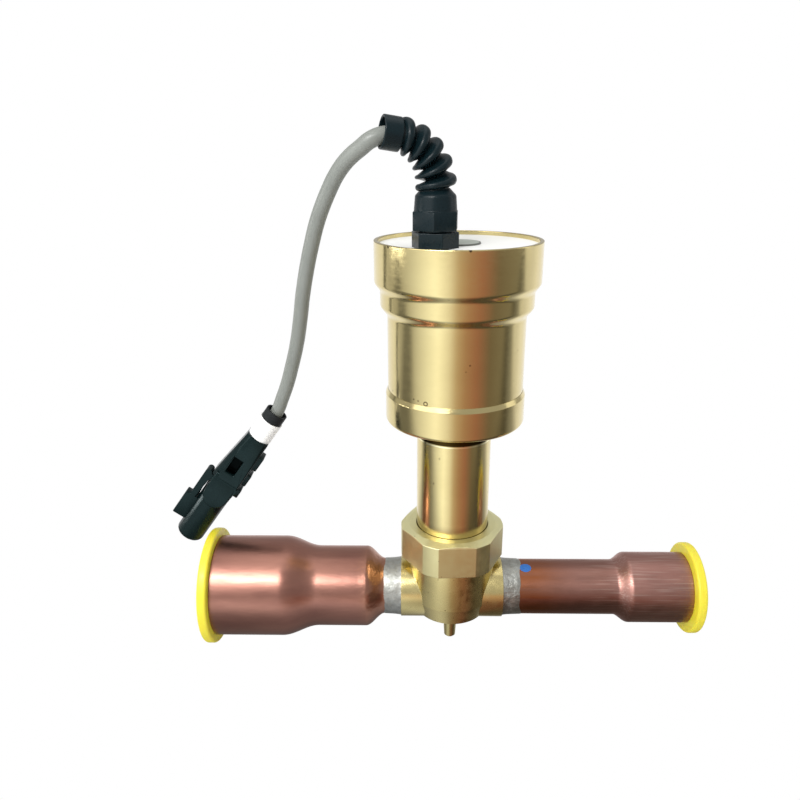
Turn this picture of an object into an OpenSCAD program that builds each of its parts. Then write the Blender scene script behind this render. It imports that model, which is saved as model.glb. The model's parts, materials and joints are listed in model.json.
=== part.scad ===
// Electronic expansion valve: brass body and motor head, copper solder sockets, cable and connector.
// The pipes lie along X, the valve spindle stands along Z, and their axes cross at the origin.

/* [Outlet pipe] */
// Bore of the outlet solder socket
outlet_bore_d = 41.4; // [39:0.1:43]
// Wall of the outlet pipe
outlet_wall = 0.9; // [0.7:0.1:1.2]
// Outside diameter of the outlet pipe's middle stretch
outlet_stem_d = 34.6; // [32:0.1:36]
// Distance from the spindle to the outlet's open end
outlet_reach = 103; // [101:0.1:104]
// Straight depth of the outlet socket
outlet_socket_l = 29; // [24:0.5:32]
// Length of the sweep between outlet socket and stem
outlet_sweep_l = 16; // [12:0.5:20]
// Length of the taper between outlet stem and body
outlet_taper_l = 8.5; // [6:0.5:11]
// Diameter of the outlet plug's flange
outlet_flange_d = 50; // [47:0.1:51]

/* [Inlet pipe] */
// Bore of the inlet solder socket
inlet_bore_d = 28.7; // [26.5:0.1:31]
// Wall of the inlet pipe
inlet_wall = 0.8; // [0.7:0.1:1.2]
// Distance from the spindle to the inlet's open end
inlet_reach = 102.5; // [95:0.5:120]
// Straight depth of the inlet socket
inlet_socket_l = 25; // [20:0.5:30]
// Length of the sweep between inlet socket and stem
inlet_sweep_l = 6.5; // [5:0.5:12]
// Diameter of the inlet plug's flange
inlet_flange_d = 39; // [35:0.1:42]

/* [Braze and plugs] */
// Length of silver braze on each pipe
braze_l = 7; // [4:0.2:8.6]
// Thickness of the braze at the boss
braze_t = 0.7; // [0.3:0.1:1]
// Thickness of a plug's flange
plug_flange_t = 4; // [3:0.1:5]
// Radius of the rounds on a plug's flange
plug_round = 1; // [0.5:0.1:1.4]
// Depth of a plug's skirt in its socket
plug_skirt_l = 12; // [8:0.5:18]
// Wall of a plug's skirt
plug_wall = 1.6; // [1:0.1:2.4]

/* [Valve body] */
// Width of the shoulder between barrel and threaded spigot
shoulder_w = 1.8; // [1.4:0.1:2.4]
// Height of the barrel's shoulder over the pipe axis
shoulder_z = 17.3; // [16:0.1:18]
// Wall of the threaded spigot on the barrel
spigot_wall = 3.5; // [3.2:0.1:3.8]
// Length of the threaded spigot
spigot_l = 5.7; // [5:0.1:6.4]
// Depth of the barrel's straight wall under the pipe axis
wall_drop = 1; // [0:0.1:3]
// Inset at the end of the barrel's taper
taper_inset = 2.8; // [2:0.1:3.2]
// Depth of the taper's end under the pipe axis
taper_drop = 9; // [7:0.1:11]
// Diameter of the foot under the barrel
foot_d = 18; // [14:0.1:22]
// Depth of the foot under the pipe axis
foot_drop = 14; // [13:0.1:16]
// Diameter of the stub under the body
stub_d = 6; // [5.2:0.1:6.6]
// Diameter of the stub's tip
stub_tip_d = 5; // [4:0.1:5.2]
// Depth of the stub's tip under the pipe axis
stub_drop = 26; // [24:0.5:30]
// Diameter of the side bosses
boss_d = 26.2; // [25.6:0.1:28]
// Distance from the spindle to a boss face
boss_reach = 22; // [21:0.1:23]
// Diameter of the spigots that carry the pipes
port_spigot_d = 22; // [20.5:0.1:22.4]
// Length of those spigots
port_spigot_l = 6; // [4:0.5:6.5]
// Bore of the ports
port_bore_d = 17; // [13:0.5:18]

/* [Lock nut and neck] */
// Wall of the lock nut behind its flats
nut_wall = 4; // [3.4:0.1:4.6]
// Height of the lock nut's turned corners over its flats
nut_corner = 1.4; // [1:0.1:2]
// Height of the lock nut
nut_h = 15; // [14.4:0.1:17]
// Thickness of the lock nut's top lip
nut_lip = 5; // [4:0.1:6]
// Gap round the neck's flange in the lock nut
neck_gap = 0.3; // [0.1:0.1:0.5]
// Width of the step from the neck's flange to the neck tube
neck_step = 1; // [0.8:0.1:1.4]
// Width of the ledge in the neck tube over the port sleeve
neck_ledge = 1.5; // [1:0.1:1.8]
// Thickness of the neck gasket
gasket_t = 1; // [0.5:0.1:1.5]

/* [Valve trim] */
// Wall of the port sleeve
sleeve_wall = 2; // [1.7:0.1:2.2]
// Bore of the port sleeve
sleeve_bore_d = 22; // [21.4:0.1:22.4]
// Depth of the sleeve's foot under the pipe axis
sleeve_drop = 9.5; // [9.2:0.1:10]
// Height of the sleeve's top over the pipe axis
sleeve_rise = 33; // [31.5:0.1:34]
// Diameter of the sleeve's side windows
window_d = 12.6; // [10:0.1:14]
// Thickness of the seat ring
seat_t = 1.5; // [1:0.1:1.8]
// Width of the seat ring
seat_w = 4; // [3:0.1:5]
// Length of the piston
piston_l = 19.9; // [19.5:0.1:20.5]
// Travel of the piston
stroke = 14; // [12:0.1:14]
// Length of the drive nut's shank in the piston
drive_shank_l = 8; // [6:0.5:10]
// Diameter of the drive nut's shank
drive_shank_d = 13; // [12:0.1:14]
// Thickness of the drive nut's flange
drive_flange_t = 3; // [2:0.1:3.4]
// Width of the drive nut's keys
key_w = 4; // [3:0.1:5]
// Height of the piston seal
ring_h = 2; // [1.5:0.1:2.5]
// Radial thickness of the piston seal
ring_t = 1.7; // [1.2:0.1:2]

/* [Motor head] */
// Height of the lower cup's underside over the pipe axis
head_z = 80.4; // [79:0.1:90]
// Diameter of the lower cup
cup_d = 55.6; // [55.2:0.1:57]
// Height of the lower cup
cup_h = 13.6; // [11:0.1:14]
// Thickness of the lower cup's floor
cup_floor = 4; // [3.4:0.1:4.4]
// Round on the lower cup's bottom edge
cup_round = 1.8; // [1:0.1:2.4]
// Diameter of the can's main stretch
can_d = 53.8; // [53:0.1:54]
// Diameter of the can's middle step
can_mid_d = 59.2; // [58:0.1:61]
// Diameter of the can's mouth
can_top_d = 63.6; // [62.4:0.1:66]
// Wall of the can
can_wall = 1.5; // [1.2:0.1:1.8]
// Height of the main stretch over the cup's underside
can_main_h = 42.8; // [42.4:0.1:44]
// Height of the lower shoulder
can_low_ramp = 4.8; // [4.4:0.1:6]
// Height of the middle step
can_mid_h = 4.6; // [4:0.1:6]
// Height of the upper shoulder
can_high_ramp = 4.4; // [4:0.1:6]
// Height of the mouth
can_top_h = 15; // [14:0.1:18]
// Thickness of the lower end plate
low_plate_t = 7.6; // [6.4:0.1:8]
// Height of one stator half
stator_h = 13.2; // [13:0.1:13.4]
// Bore of the stator
stator_bore_d = 29; // [27:0.1:31]
// Thickness of the stator's sheet
stator_sheet = 1.4; // [1:0.1:1.8]
// Claw poles on each stator half
pole_count = 12; // [8:2:16]
// Thickness of the upper end plate
high_plate_t = 4; // [3:0.1:4.2]
// Air gap round the rotor magnet
air_gap = 0.5; // [0.3:0.05:1]
// Diameter of the rotor hub
hub_d = 16; // [14:0.1:18]
// Diameter of the lead screw
screw_d = 8; // [7:0.1:9]
// Diameter of the lead screw's thrust collar
collar_d = 12; // [11:0.1:13]
// Outside diameter of the bushes
bush_d = 15; // [13.5:0.1:16]
// Diameter of the bushes' flanges
bush_flange_d = 19; // [17:0.1:21]

/* [Top and gland] */
// Depth of the white seal under the can's rim
seal_drop = 1.6; // [1:0.1:2.5]
// Diameter of the grey centre disc
disc_d = 17; // [14:0.1:17.2]
// Thickness of the disc that carries the seal
dam_t = 2; // [1.5:0.1:3]
// Width across the flats of the gland's lower hexagon
gland_af = 15; // [14:0.1:16]
// Width across the flats of the gland nut
dome_af = 15.6; // [14.8:0.1:16.4]
// Diameter of the gland nut's round stretch at its foot
dome_d = 15.4; // [14.8:0.1:15.6]
// Diameter of the gland nut's round stretch at its top
dome_top_d = 14.6; // [14:0.1:15.4]
// Diameter of the gland's threads
gland_thread_d = 12; // [11.4:0.1:12.2]
// Height of the gland's lower hexagon
gland_hex_h = 5.6; // [5.2:0.1:6]
// Height of the gland nut's hexagon
dome_hex_h = 6.8; // [6.4:0.1:7.2]
// Height of the gland nut's round stretch
dome_h = 5.2; // [5:0.1:5.6]
// Outside diameter of the bend spiral
spiral_d = 14.8; // [13:0.1:15]
// Bore of the bend spiral
spiral_bore_d = 7; // [6.8:0.1:7.4]
// Turns of the bend spiral
spiral_turns = 5; // [4:1:6]
// Width of the spiral's ribbon at its rim
ribbon_w = 2.4; // [1.6:0.1:2.8]
// Outside diameter of the end collar
end_collar_d = 11.4; // [11:0.1:12]

/* [Cable and connector] */
// Diameter of the cable
cable_d = 5.8; // [5:0.1:5.9]
// Diameter of the black boot on the cable
boot_d = 9.6; // [9:0.1:10.4]
// Diameter of the white sleeve behind the connector
marker_d = 10.4; // [9:0.1:11]
// Diameter of the connector's barrel
barrel_d = 12.6; // [12:0.1:13]
// Thickness of the connector's rear housing
rear_t = 10.6; // [9.6:0.1:11]
// Width of a terminal cavity
cavity_w = 2.4; // [2:0.1:2.6]
// Depth of a terminal cavity
cavity_l = 9; // [6:0.5:12]

/* [Hidden] */
$fn = 96;

// Clearances: seat is a slip fit, run is a running fit, loose is a gap that shows as a line
seat = 0.03;
run = 0.05;
loose = 0.25;
step = 1;
through = 250;

// Colours
brass = "#c9a227";
turned_brass = "#d4b44a";
copper = "#9c4f3a";
silver = "#b9bcbb";
steel = "#8d9195";
black_nylon = "#1b1d1f";
ptfe = "#f2f0e6";
plug_yellow = "#f2e21c";

// Joint between body and neck, from the port sleeve outwards
sleeve_d = sleeve_bore_d + 2 * sleeve_wall;
spigot_d = sleeve_d + 2 * spigot_wall;
body_d = spigot_d + 2 * shoulder_w;
taper_d = body_d - 2 * taper_inset;
nut_af = spigot_d + 2 * nut_wall;
nut_corner_d = nut_af + 2 * nut_corner;
neck_bore_d = sleeve_d - 2 * neck_ledge;
spigot_z = shoulder_z + spigot_l;
flange_z = spigot_z + gasket_t;
neck_flange_d = spigot_d - 2 * neck_gap;
neck_d = neck_flange_d - 2 * neck_step;
nut_z = shoulder_z + loose;
nut_top_z = nut_z + nut_h;
lip_z = nut_top_z - nut_lip;
nut_turn = 3.5;
nut_chamfer = 2;
nut_chamfer_drop = 1.3;
stub_root_d = 6.8;
stub_root_drop = 17;
stub_chamfer = 0.5;

// Trim at rest, with the valve shut
seat_top_z = seat_t - sleeve_drop;
piston_z = seat_top_z + 2 * run;
piston_top_z = piston_z + piston_l;
piston_d = sleeve_bore_d - 2 * run;
piston_floor = 2;
keyway_z = piston_top_z - step;
key_depth = 1;
screw_foot_z = piston_z + piston_floor + stroke + loose;
ring_z = piston_top_z - 6;

// Heights in the motor head
floor_z = head_z + cup_floor;
low_stator_z = floor_z + low_plate_t;
high_stator_z = low_stator_z + stator_h;
high_plate_z = high_stator_z + stator_h;
main_top_z = head_z + can_main_h;
mid_z = main_top_z + can_low_ramp;
mid_top_z = mid_z + can_mid_h;
top_z = mid_top_z + can_high_ramp;
rim_z = top_z + can_top_h;
can_inner_d = can_d - 2 * can_wall - 2 * seat;
mouth_inner_d = can_top_d - 2 * can_wall - 2 * seat;
cup_chamfer = 0.8;
cup_chamfer_h = 1.8;
bush_flange_t = 1;
bush_l = 6;
collar_z = low_stator_z + bush_flange_t + run;
collar_t = 2;
hub_z = collar_z + collar_t;
hub_top_z = high_plate_z - bush_flange_t - loose;
board_t = 1.6;
seal_z = top_z + dam_t;
seal_top_z = rim_z - seal_drop;
disc_t = 2.2;

// Gland, from its shank up to the end collar
gland_x = -9;
gland_y = -11.5;
shank_z = seal_z + 2 * step;
gland_hex_turn = -14;
dome_hex_turn = 25;
dome_z = seal_top_z + gland_hex_h + 2 * loose;
dome_round_z = dome_z + dome_hex_h;
dome_cone_z = dome_round_z + dome_h;
dome_cone_h = 2.7;
dome_mouth_d = 9.4;
spiral_z = dome_cone_z + dome_cone_h;
gland_thread_top_z = dome_round_z + step;
gland_seal_z = dome_z + step;
gland_seal_d = 9.4;
spiral_straight = 1;
bend_r = 16.6;
bend_angle = 81.5;
// Direction of the bend round the gland, from -X towards the front
bend_turn = 16;
spiral_l = spiral_straight + bend_r * bend_angle * PI / 180;
end_collar_l = 5.3;
end_collar_bore_d = 9.6;
ribbon_slit = 0.4;
ribbon_root_w = spiral_l / spiral_turns - ribbon_slit;
ribbon_round = 0.6;
ribbon_steps = 24;
// Last stretch of the ribbon that sinks into the end collar, in steps, and how deep
fade_steps = 8;
fade = 0.55;
bury = 1.2;

// Cable route from inside the can through the gland and down to the connector, measured from
// the place where the gland's axis meets the white top
cable_offsets = [
    [0, 0, -12.4], [0, 0, 0], [0, 0, 12], [0, 0, 21.8], [-0.5, -0.2, 26.1], [-2.1, -0.6, 30.1],
    [-4.7, -1.3, 33.5], [-8, -2.3, 36.1], [-11.2, -3.2, 37.4], [-14.4, -4.1, 38], [-18.1, -5.2, 37.9],
    [-22.2, -5.8, 36.4], [-25.7, -4.8, 33.9], [-29, -3.9, 31.4], [-31.7, -3, 28.8], [-34.9, -1.4, 24.6],
    [-37.4, 0.4, 20.3], [-40.3, 2.8, 14.6], [-43, 5.5, 8.4], [-45.5, 8, 0.9], [-48, 10.5, -7.8],
    [-50.8, 13.5, -19.6], [-52.8, 16.5, -30], [-55.2, 19.5, -40.8], [-58.4, 22.5, -51.6],
    [-61, 24.2, -59.6], [-63.7, 25.1, -66.4], [-66.5, 25.5, -72.9], [-74.3, 25.5, -83.6]
];
cable_base = [gland_x, gland_y, seal_top_z];
cable_route = [for (p = cable_offsets) cable_base + p];
cable_sides = 12;

// Connector along its own axis, from the boot to the mating face; its own x points to the rail
connector_at = cable_route[len(cable_route) - 2];
connector_tilt = 216;
boot_l = 4.5;
boot_mouth_d = 8;
boot_mouth_l = 1.6;
marker_end = 14;
rear_end = 39;
rear_low = -5;
rear_high = 5.2;
rear_d = 12.4;
wide_low = -5;
wide_high = 8;
wide_t = 14.4;
wide_d = 17.6;
window_at = [-0.4, 26];
window_size = [4.3, 8];
window_cut = 5;
barrel_x = 1.1;
barrel_start = 37;
barrel_end = 74.3;
barrel_round = 2.4;
tongue_start = 38;
tongue_end = 52;
tongue_w = 11.6;
rail_t = 5;
rail_arm = [7.9, 10.9, 41, 57];
rail_block = [5, 12.9, 55, 67.5];
rail_root_l = 3;
cavity_pitch = 4.2;
lock_t = 6.4;
lock_low = -7.2;
lock_base = -5.6;
lock_top = -3.4;
// Start and end of each block on the lock
lock_blocks = [[21, 28.5], [31.5, 37.5], [40, 44.5]];
lock_l = lock_blocks[2][1] - lock_blocks[0][0];

// Smooth run of radii between two places along an axis
function sweep(r0, x0, r1, x1, n = 8) =
    [for (i = [0:n]) [r0 + (r1 - r0) * (1 - cos(180 * i / n)) / 2, x0 + (x1 - x0) * i / n]];

function reversed(points) = [for (i = [len(points) - 1:-1:0]) points[i]];

// Outer profile closed by the same profile moved in by a wall
function shell(outside, wall) = concat(outside, [for (p = reversed(outside)) [p[0] - wall, p[1]]]);

function unit(v) = v / norm(v);

// Place along the gland's bent axis: u points away from the bend, v to the back
function bent(s, u, v) =
    let (
        a = min(max((s - spiral_straight) / bend_r * 180 / PI, 0), bend_angle),
        up = min(s, spiral_straight),
        past = max(s - spiral_l, 0),
        out = (bend_r + u) * cos(a) - bend_r - past * sin(a)
    ) [
        gland_x + out * cos(bend_turn) - v * sin(bend_turn),
        gland_y + out * sin(bend_turn) + v * cos(bend_turn),
        spiral_z + up + (bend_r + u) * sin(a) + past * cos(a)
    ];

// Faces of a tube of rings with closed ends
function tube_faces(rings, sides) = concat(
    [for (i = [0:rings - 2], j = [0:sides - 1]) let (k = (j + 1) % sides)
        [i * sides + k, (i + 1) * sides + j, i * sides + j]],
    [for (i = [0:rings - 2], j = [0:sides - 1]) let (k = (j + 1) % sides)
        [(i + 1) * sides + k, (i + 1) * sides + j, i * sides + k]],
    [[for (j = [sides - 1:-1:0]) j]],
    [[for (j = [0:sides - 1]) (rings - 1) * sides + j]]
);

module ring(outer_d, inner_d, h) {
    difference() {
        cylinder(d = outer_d, h = h);
        translate([0, 0, -step]) cylinder(d = inner_d, h = h + 2 * step);
    }
}

module hexagon(af, h) {
    cylinder(d = af / cos(30), h = h, $fn = 6);
}

module at_gland(z) {
    translate([gland_x, gland_y, z]) children();
}

module at_connector() {
    translate(connector_at) rotate([0, connector_tilt, 0]) children();
}

// Turns a profile of radius and reach into a solid along +X or -X
module along_pipe(side) {
    rotate([0, 90 * side, 0]) rotate_extrude() children();
}

module valve_body() {
    color(brass) difference() {
        union() {
            rotate_extrude() polygon([
                [0, spigot_z], [spigot_d / 2, spigot_z], [spigot_d / 2, shoulder_z],
                [body_d / 2, shoulder_z], [body_d / 2, -wall_drop],
                [taper_d / 2, -taper_drop], [foot_d / 2, -foot_drop],
                [stub_root_d / 2, -stub_root_drop], [stub_d / 2, -stub_root_drop],
                [stub_tip_d / 2, stub_chamfer - stub_drop], [stub_tip_d / 2 - stub_chamfer, -stub_drop],
                [0, -stub_drop]
            ]);
            for (side = [-1, 1]) rotate([0, 90 * side, 0]) {
                cylinder(d = boss_d, h = boss_reach);
                cylinder(d = port_spigot_d, h = boss_reach + port_spigot_l);
            }
        }
        translate([0, 0, -sleeve_drop]) cylinder(d = sleeve_d + 2 * seat, h = through);
        rotate([0, 90, 0]) cylinder(d = port_bore_d, h = through, center = true);
    }
}

module port_sleeve() {
    key_reach = sleeve_bore_d / 2 + key_depth;
    color(steel) difference() {
        translate([0, 0, -sleeve_drop]) ring(sleeve_d, sleeve_bore_d, sleeve_rise + sleeve_drop);
        rotate([0, 90, 0]) cylinder(d = window_d, h = through, center = true);
        translate([-key_reach, -key_w / 2 - run, keyway_z])
            cube([2 * key_reach, key_w + 2 * run, through]);
    }
}

module seat_ring() {
    color(ptfe) translate([0, 0, -sleeve_drop])
        ring(sleeve_bore_d - 2 * seat, sleeve_bore_d - 2 * seat_w, seat_t);
}

module piston() {
    groove_d = piston_d - 2 * ring_t;
    color(turned_brass) difference() {
        translate([0, 0, piston_z]) cylinder(d = piston_d, h = piston_l);
        translate([0, 0, piston_top_z - drive_shank_l])
            cylinder(d = drive_shank_d + 2 * seat, h = through);
        translate([0, 0, piston_z + piston_floor]) cylinder(d = screw_d + step, h = through);
        translate([0, 0, ring_z - seat]) ring(piston_d + step, groove_d, ring_h + 2 * seat);
    }
}

module piston_seal() {
    color(ptfe) translate([0, 0, ring_z])
        ring(sleeve_bore_d - 2 * seat, piston_d - 2 * ring_t + 2 * seat, ring_h);
}

module drive_nut() {
    key_reach = sleeve_bore_d / 2 + key_depth - run;
    color(turned_brass) difference() {
        union() {
            translate([0, 0, piston_top_z - drive_shank_l]) cylinder(d = drive_shank_d, h = drive_shank_l);
            translate([0, 0, piston_top_z]) cylinder(d = sleeve_bore_d - 2 * step, h = drive_flange_t);
            translate([-key_reach, -key_w / 2, piston_top_z]) cube([2 * key_reach, key_w, drive_flange_t]);
        }
        translate([0, 0, piston_z]) cylinder(d = screw_d + 2 * run, h = through);
    }
}

module lead_screw() {
    color(steel) union() {
        translate([0, 0, screw_foot_z]) cylinder(d = screw_d, h = high_plate_z + bush_l - screw_foot_z);
        translate([0, 0, collar_z]) cylinder(d = collar_d, h = collar_t);
    }
}

module neck_gasket() {
    color(copper) translate([0, 0, spigot_z]) ring(neck_flange_d, sleeve_d + 2 * seat, gasket_t);
}

module neck_tube() {
    color(turned_brass) difference() {
        union() {
            translate([0, 0, flange_z]) cylinder(d = neck_flange_d, h = lip_z - flange_z);
            translate([0, 0, flange_z]) cylinder(d = neck_d, h = floor_z - flange_z);
        }
        cylinder(d = neck_bore_d, h = through);
        translate([0, 0, spigot_z]) cylinder(d = sleeve_d + 2 * seat, h = sleeve_rise - spigot_z);
    }
}

module lock_nut() {
    color(brass) difference() {
        intersection() {
            translate([0, 0, nut_z]) rotate(nut_turn) hexagon(nut_af, nut_h);
            rotate_extrude() polygon([
                [0, nut_z], [nut_corner_d / 2, nut_z], [nut_corner_d / 2, nut_top_z - nut_chamfer_drop],
                [nut_af / 2 - nut_chamfer, nut_top_z], [0, nut_top_z]
            ]);
        }
        translate([0, 0, nut_z - step]) cylinder(d = spigot_d + 2 * seat, h = lip_z - nut_z + step);
        cylinder(d = neck_d + 2 * loose, h = through);
    }
}

module lower_cup() {
    cup_r = cup_d / 2;
    cup_top_z = head_z + cup_h;
    round_r = cup_r - cup_round;
    color(turned_brass) difference() {
        rotate_extrude() polygon(concat(
            [[0, head_z]],
            [for (a = [0:15:90]) [round_r + cup_round * sin(a), head_z + cup_round - cup_round * cos(a)]],
            [[cup_r, cup_top_z - cup_chamfer_h], [cup_r - cup_chamfer, cup_top_z], [0, cup_top_z]]
        ));
        translate([0, 0, floor_z]) cylinder(d = can_d + 2 * seat, h = through);
        cylinder(d = neck_d + 2 * seat, h = through);
    }
}

module motor_can() {
    outside = concat(
        [[can_d / 2, floor_z]],
        sweep(can_d / 2, main_top_z, can_mid_d / 2, mid_z),
        sweep(can_mid_d / 2, mid_top_z, can_top_d / 2, top_z),
        [[can_top_d / 2, rim_z]]
    );
    color(turned_brass) rotate_extrude() polygon(shell(outside, can_wall));
}

// Disc that fits the can's main stretch, with a hole for a bush
module end_plate(z, t) {
    color(steel) translate([0, 0, z]) ring(can_inner_d, bush_d + 2 * seat, t);
}

module lower_end_plate() {
    end_plate(floor_z, low_plate_t);
}

module upper_end_plate() {
    end_plate(high_plate_z, high_plate_t);
}

// Bush with its flange on the rotor's side of the plate
module bush(flange_from, body_from) {
    color("#b08d57") difference() {
        union() {
            translate([0, 0, flange_from]) cylinder(d = bush_flange_d, h = bush_flange_t);
            translate([0, 0, body_from]) cylinder(d = bush_d, h = bush_l);
        }
        cylinder(d = screw_d + 2 * run, h = through);
    }
}

module lower_bush() {
    bush(low_stator_z, low_stator_z - bush_l);
}

module upper_bush() {
    bush(high_plate_z - bush_flange_t, high_plate_z);
}

// Sheet cup of one stator half, with claw poles from alternate ends
module stator_half(z) {
    outer_r = can_inner_d / 2;
    bore_r = stator_bore_d / 2;
    pole_h = stator_h - 2.5 * stator_sheet;
    pole_angle = 360 / pole_count * 0.7;
    color(steel) translate([0, 0, z]) union() {
        rotate_extrude() polygon([
            [bore_r, 0], [outer_r, 0], [outer_r, stator_h], [bore_r, stator_h],
            [bore_r, stator_h - stator_sheet], [outer_r - stator_sheet, stator_h - stator_sheet],
            [outer_r - stator_sheet, stator_sheet], [bore_r, stator_sheet]
        ]);
        for (i = [0:pole_count - 1]) rotate(360 / pole_count * i)
            translate([0, 0, i % 2 == 0 ? stator_sheet / 2 : 2 * stator_sheet])
                rotate_extrude(angle = pole_angle)
                    translate([bore_r, 0]) square([stator_sheet, pole_h]);
    }
}

module lower_stator() {
    stator_half(low_stator_z);
}

module upper_stator() {
    stator_half(high_stator_z);
}

// Ring winding that fills a stator half behind its poles
module coil(z) {
    outer_d = can_inner_d - 2 * stator_sheet - 2 * seat;
    inner_d = stator_bore_d + 2 * stator_sheet + 2 * seat;
    color("#b5652f") translate([0, 0, z + stator_sheet + seat])
        ring(outer_d, inner_d, stator_h - 2 * stator_sheet - 2 * seat);
}

module lower_coil() {
    coil(low_stator_z);
}

module upper_coil() {
    coil(high_stator_z);
}

module rotor_hub() {
    color("#3a3f44") translate([0, 0, hub_z]) ring(hub_d, screw_d + 2 * seat, hub_top_z - hub_z);
}

module rotor_magnet() {
    color("#4a4d52") translate([0, 0, hub_z])
        ring(stator_bore_d - 2 * air_gap, hub_d + 2 * seat, hub_top_z - hub_z);
}

module terminal_board() {
    board_d = can_mid_d - 2 * can_wall - 2 * seat;
    color("#2e6b3e") translate([0, 0, mid_z]) ring(board_d, bush_d, board_t);
}

module lead_wires() {
    wire_d = 1.2;
    wire_z = mid_z + board_t;
    color("#d8d8d8") for (a = [45:90:315])
        at_gland(wire_z) rotate(a) translate([cable_d / 4, 0, 0])
            cylinder(d = wire_d, h = cable_route[0][2] - wire_z);
}

module dam_disc() {
    color("#d9d9d4") difference() {
        translate([0, 0, top_z]) cylinder(d = mouth_inner_d, h = dam_t);
        at_gland(top_z - step) cylinder(d = cable_d + 2 * run, h = through);
    }
}

module top_seal() {
    color("#f4f4f0") difference() {
        translate([0, 0, seal_z]) cylinder(d = mouth_inner_d, h = seal_top_z - seal_z);
        at_gland(shank_z) cylinder(d = gland_thread_d + 2 * seat, h = through);
        at_gland(seal_z - step) cylinder(d = cable_d + 2 * run, h = through);
        translate([0, 0, seal_top_z - disc_t]) cylinder(d = disc_d + 2 * seat, h = through);
    }
}

module centre_disc() {
    color("#a9acab") translate([0, 0, seal_top_z - disc_t]) cylinder(d = disc_d, h = disc_t);
}

module gland_body() {
    color(black_nylon) difference() {
        union() {
            at_gland(shank_z) cylinder(d = gland_thread_d, h = gland_thread_top_z - shank_z);
            at_gland(seal_top_z) rotate(gland_hex_turn) hexagon(gland_af, gland_hex_h);
        }
        at_gland(0) cylinder(d = cable_d + 2 * loose, h = through);
        at_gland(gland_seal_z) cylinder(d = gland_seal_d + 2 * seat, h = through);
    }
}

module gland_seal() {
    color("#2b2b2b") at_gland(gland_seal_z)
        ring(gland_seal_d, cable_d + 2 * run, gland_thread_top_z - gland_seal_z);
}

// Ribbon wound round the gland's bent axis
module bend_spiral() {
    inner_r = spiral_bore_d / 2;
    outer_r = spiral_d / 2;
    section = [
        [inner_r, -ribbon_root_w / 2], [outer_r - ribbon_round, -ribbon_w / 2],
        [outer_r, ribbon_round - ribbon_w / 2], [outer_r, ribbon_w / 2 - ribbon_round],
        [outer_r - ribbon_round, ribbon_w / 2], [inner_r, ribbon_root_w / 2]
    ];
    last = spiral_turns * ribbon_steps;
    points = [
        for (i = [0:last], p = section)
            let (
                a = 180 + 360 * i / ribbon_steps,
                s = spiral_l * i / last + p[1],
                sunk = fade * max(i - last + fade_steps, 0) / fade_steps,
                r = p[0] - sunk * (p[0] - inner_r)
            )
            bent(s, r * cos(a), r * sin(a))
    ];
    polyhedron(points, tube_faces(last + 1, len(section)));
}

// Smooth tube at the end of the spiral
module end_collar() {
    translate(bent(spiral_l - bury, 0, 0)) rotate([0, -bend_angle, bend_turn])
        ring(end_collar_d, end_collar_bore_d, end_collar_l + bury);
}

module gland_nut() {
    thread_l = gland_thread_top_z - dome_z + loose;
    color(black_nylon) union() {
        bend_spiral();
        end_collar();
        difference() {
            union() {
                at_gland(dome_z) rotate(dome_hex_turn) hexagon(dome_af, dome_hex_h + loose);
                at_gland(dome_round_z) cylinder(d1 = dome_d, d2 = dome_top_d, h = dome_h);
                at_gland(dome_cone_z) cylinder(d1 = dome_top_d, d2 = dome_mouth_d, h = dome_cone_h);
            }
            at_gland(0) cylinder(d = cable_d + 2 * loose, h = through);
            at_gland(dome_z - step) cylinder(d = gland_thread_d + 2 * seat, h = thread_l + step);
        }
    }
}

module cable() {
    last = len(cable_route) - 1;
    points = [
        for (i = [0:last], j = [0:cable_sides - 1])
            let (
                t = unit(cable_route[min(i + 1, last)] - cable_route[max(i - 1, 0)]),
                across = unit(cross(t, [0, 1, 0])),
                deep = cross(across, t),
                a = 360 * j / cable_sides
            )
            cable_route[i] + cable_d / 2 * (across * cos(a) + deep * sin(a))
    ];
    color("#8f9493") polyhedron(points, tube_faces(last + 1, cable_sides));
}

module cable_boot() {
    color(black_nylon) at_connector() difference() {
        ring(boot_d, cable_d + 2 * run, boot_l);
        translate([0, 0, -step]) cylinder(d = boot_mouth_d, h = boot_mouth_l + step);
    }
}

module marker_sleeve() {
    color("#f3f3f1") at_connector() translate([0, 0, boot_l])
        ring(marker_d, cable_d + 2 * run, marker_end - boot_l);
}

// Rear of the housing, which widens and thickens towards the barrel and has rounded edges
module connector_rear() {
    rear_l = rear_end - marker_end;
    axis_x = (rear_low + rear_high) / 2;
    intersection() {
        rotate([90, 0, 0]) linear_extrude(wide_t + step, center = true) polygon([
            [rear_low, marker_end], [rear_high, marker_end], [wide_high, rear_end], [wide_low, rear_end]
        ]);
        translate([axis_x, 0, 0]) rotate([90, 0, 90]) linear_extrude(2 * wide_d, center = true) polygon([
            [-rear_t / 2, marker_end], [rear_t / 2, marker_end],
            [wide_t / 2, rear_end], [-wide_t / 2, rear_end]
        ]);
        translate([axis_x, 0, marker_end]) cylinder(d1 = rear_d, d2 = wide_d, h = rear_l);
    }
}

// Round barrel with a rounded front edge
module connector_barrel() {
    r = barrel_d / 2;
    translate([barrel_x, 0, 0]) rotate_extrude() polygon(concat(
        [[0, barrel_start], [r, barrel_start]],
        [for (a = [0:15:90])
            [r - barrel_round + barrel_round * cos(a), barrel_end - barrel_round + barrel_round * sin(a)]],
        [[0, barrel_end]]
    ));
}

// Flat tongue that laps over the barrel and ends in a round
module connector_tongue() {
    r = tongue_w / 2;
    translate([barrel_x, 0, 0]) rotate([90, 0, 0]) linear_extrude(wide_t, center = true) union() {
        translate([0, tongue_end - r]) circle(r = r);
        translate([-r, tongue_start]) square([tongue_w, tongue_end - r - tongue_start]);
    }
}

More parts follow.
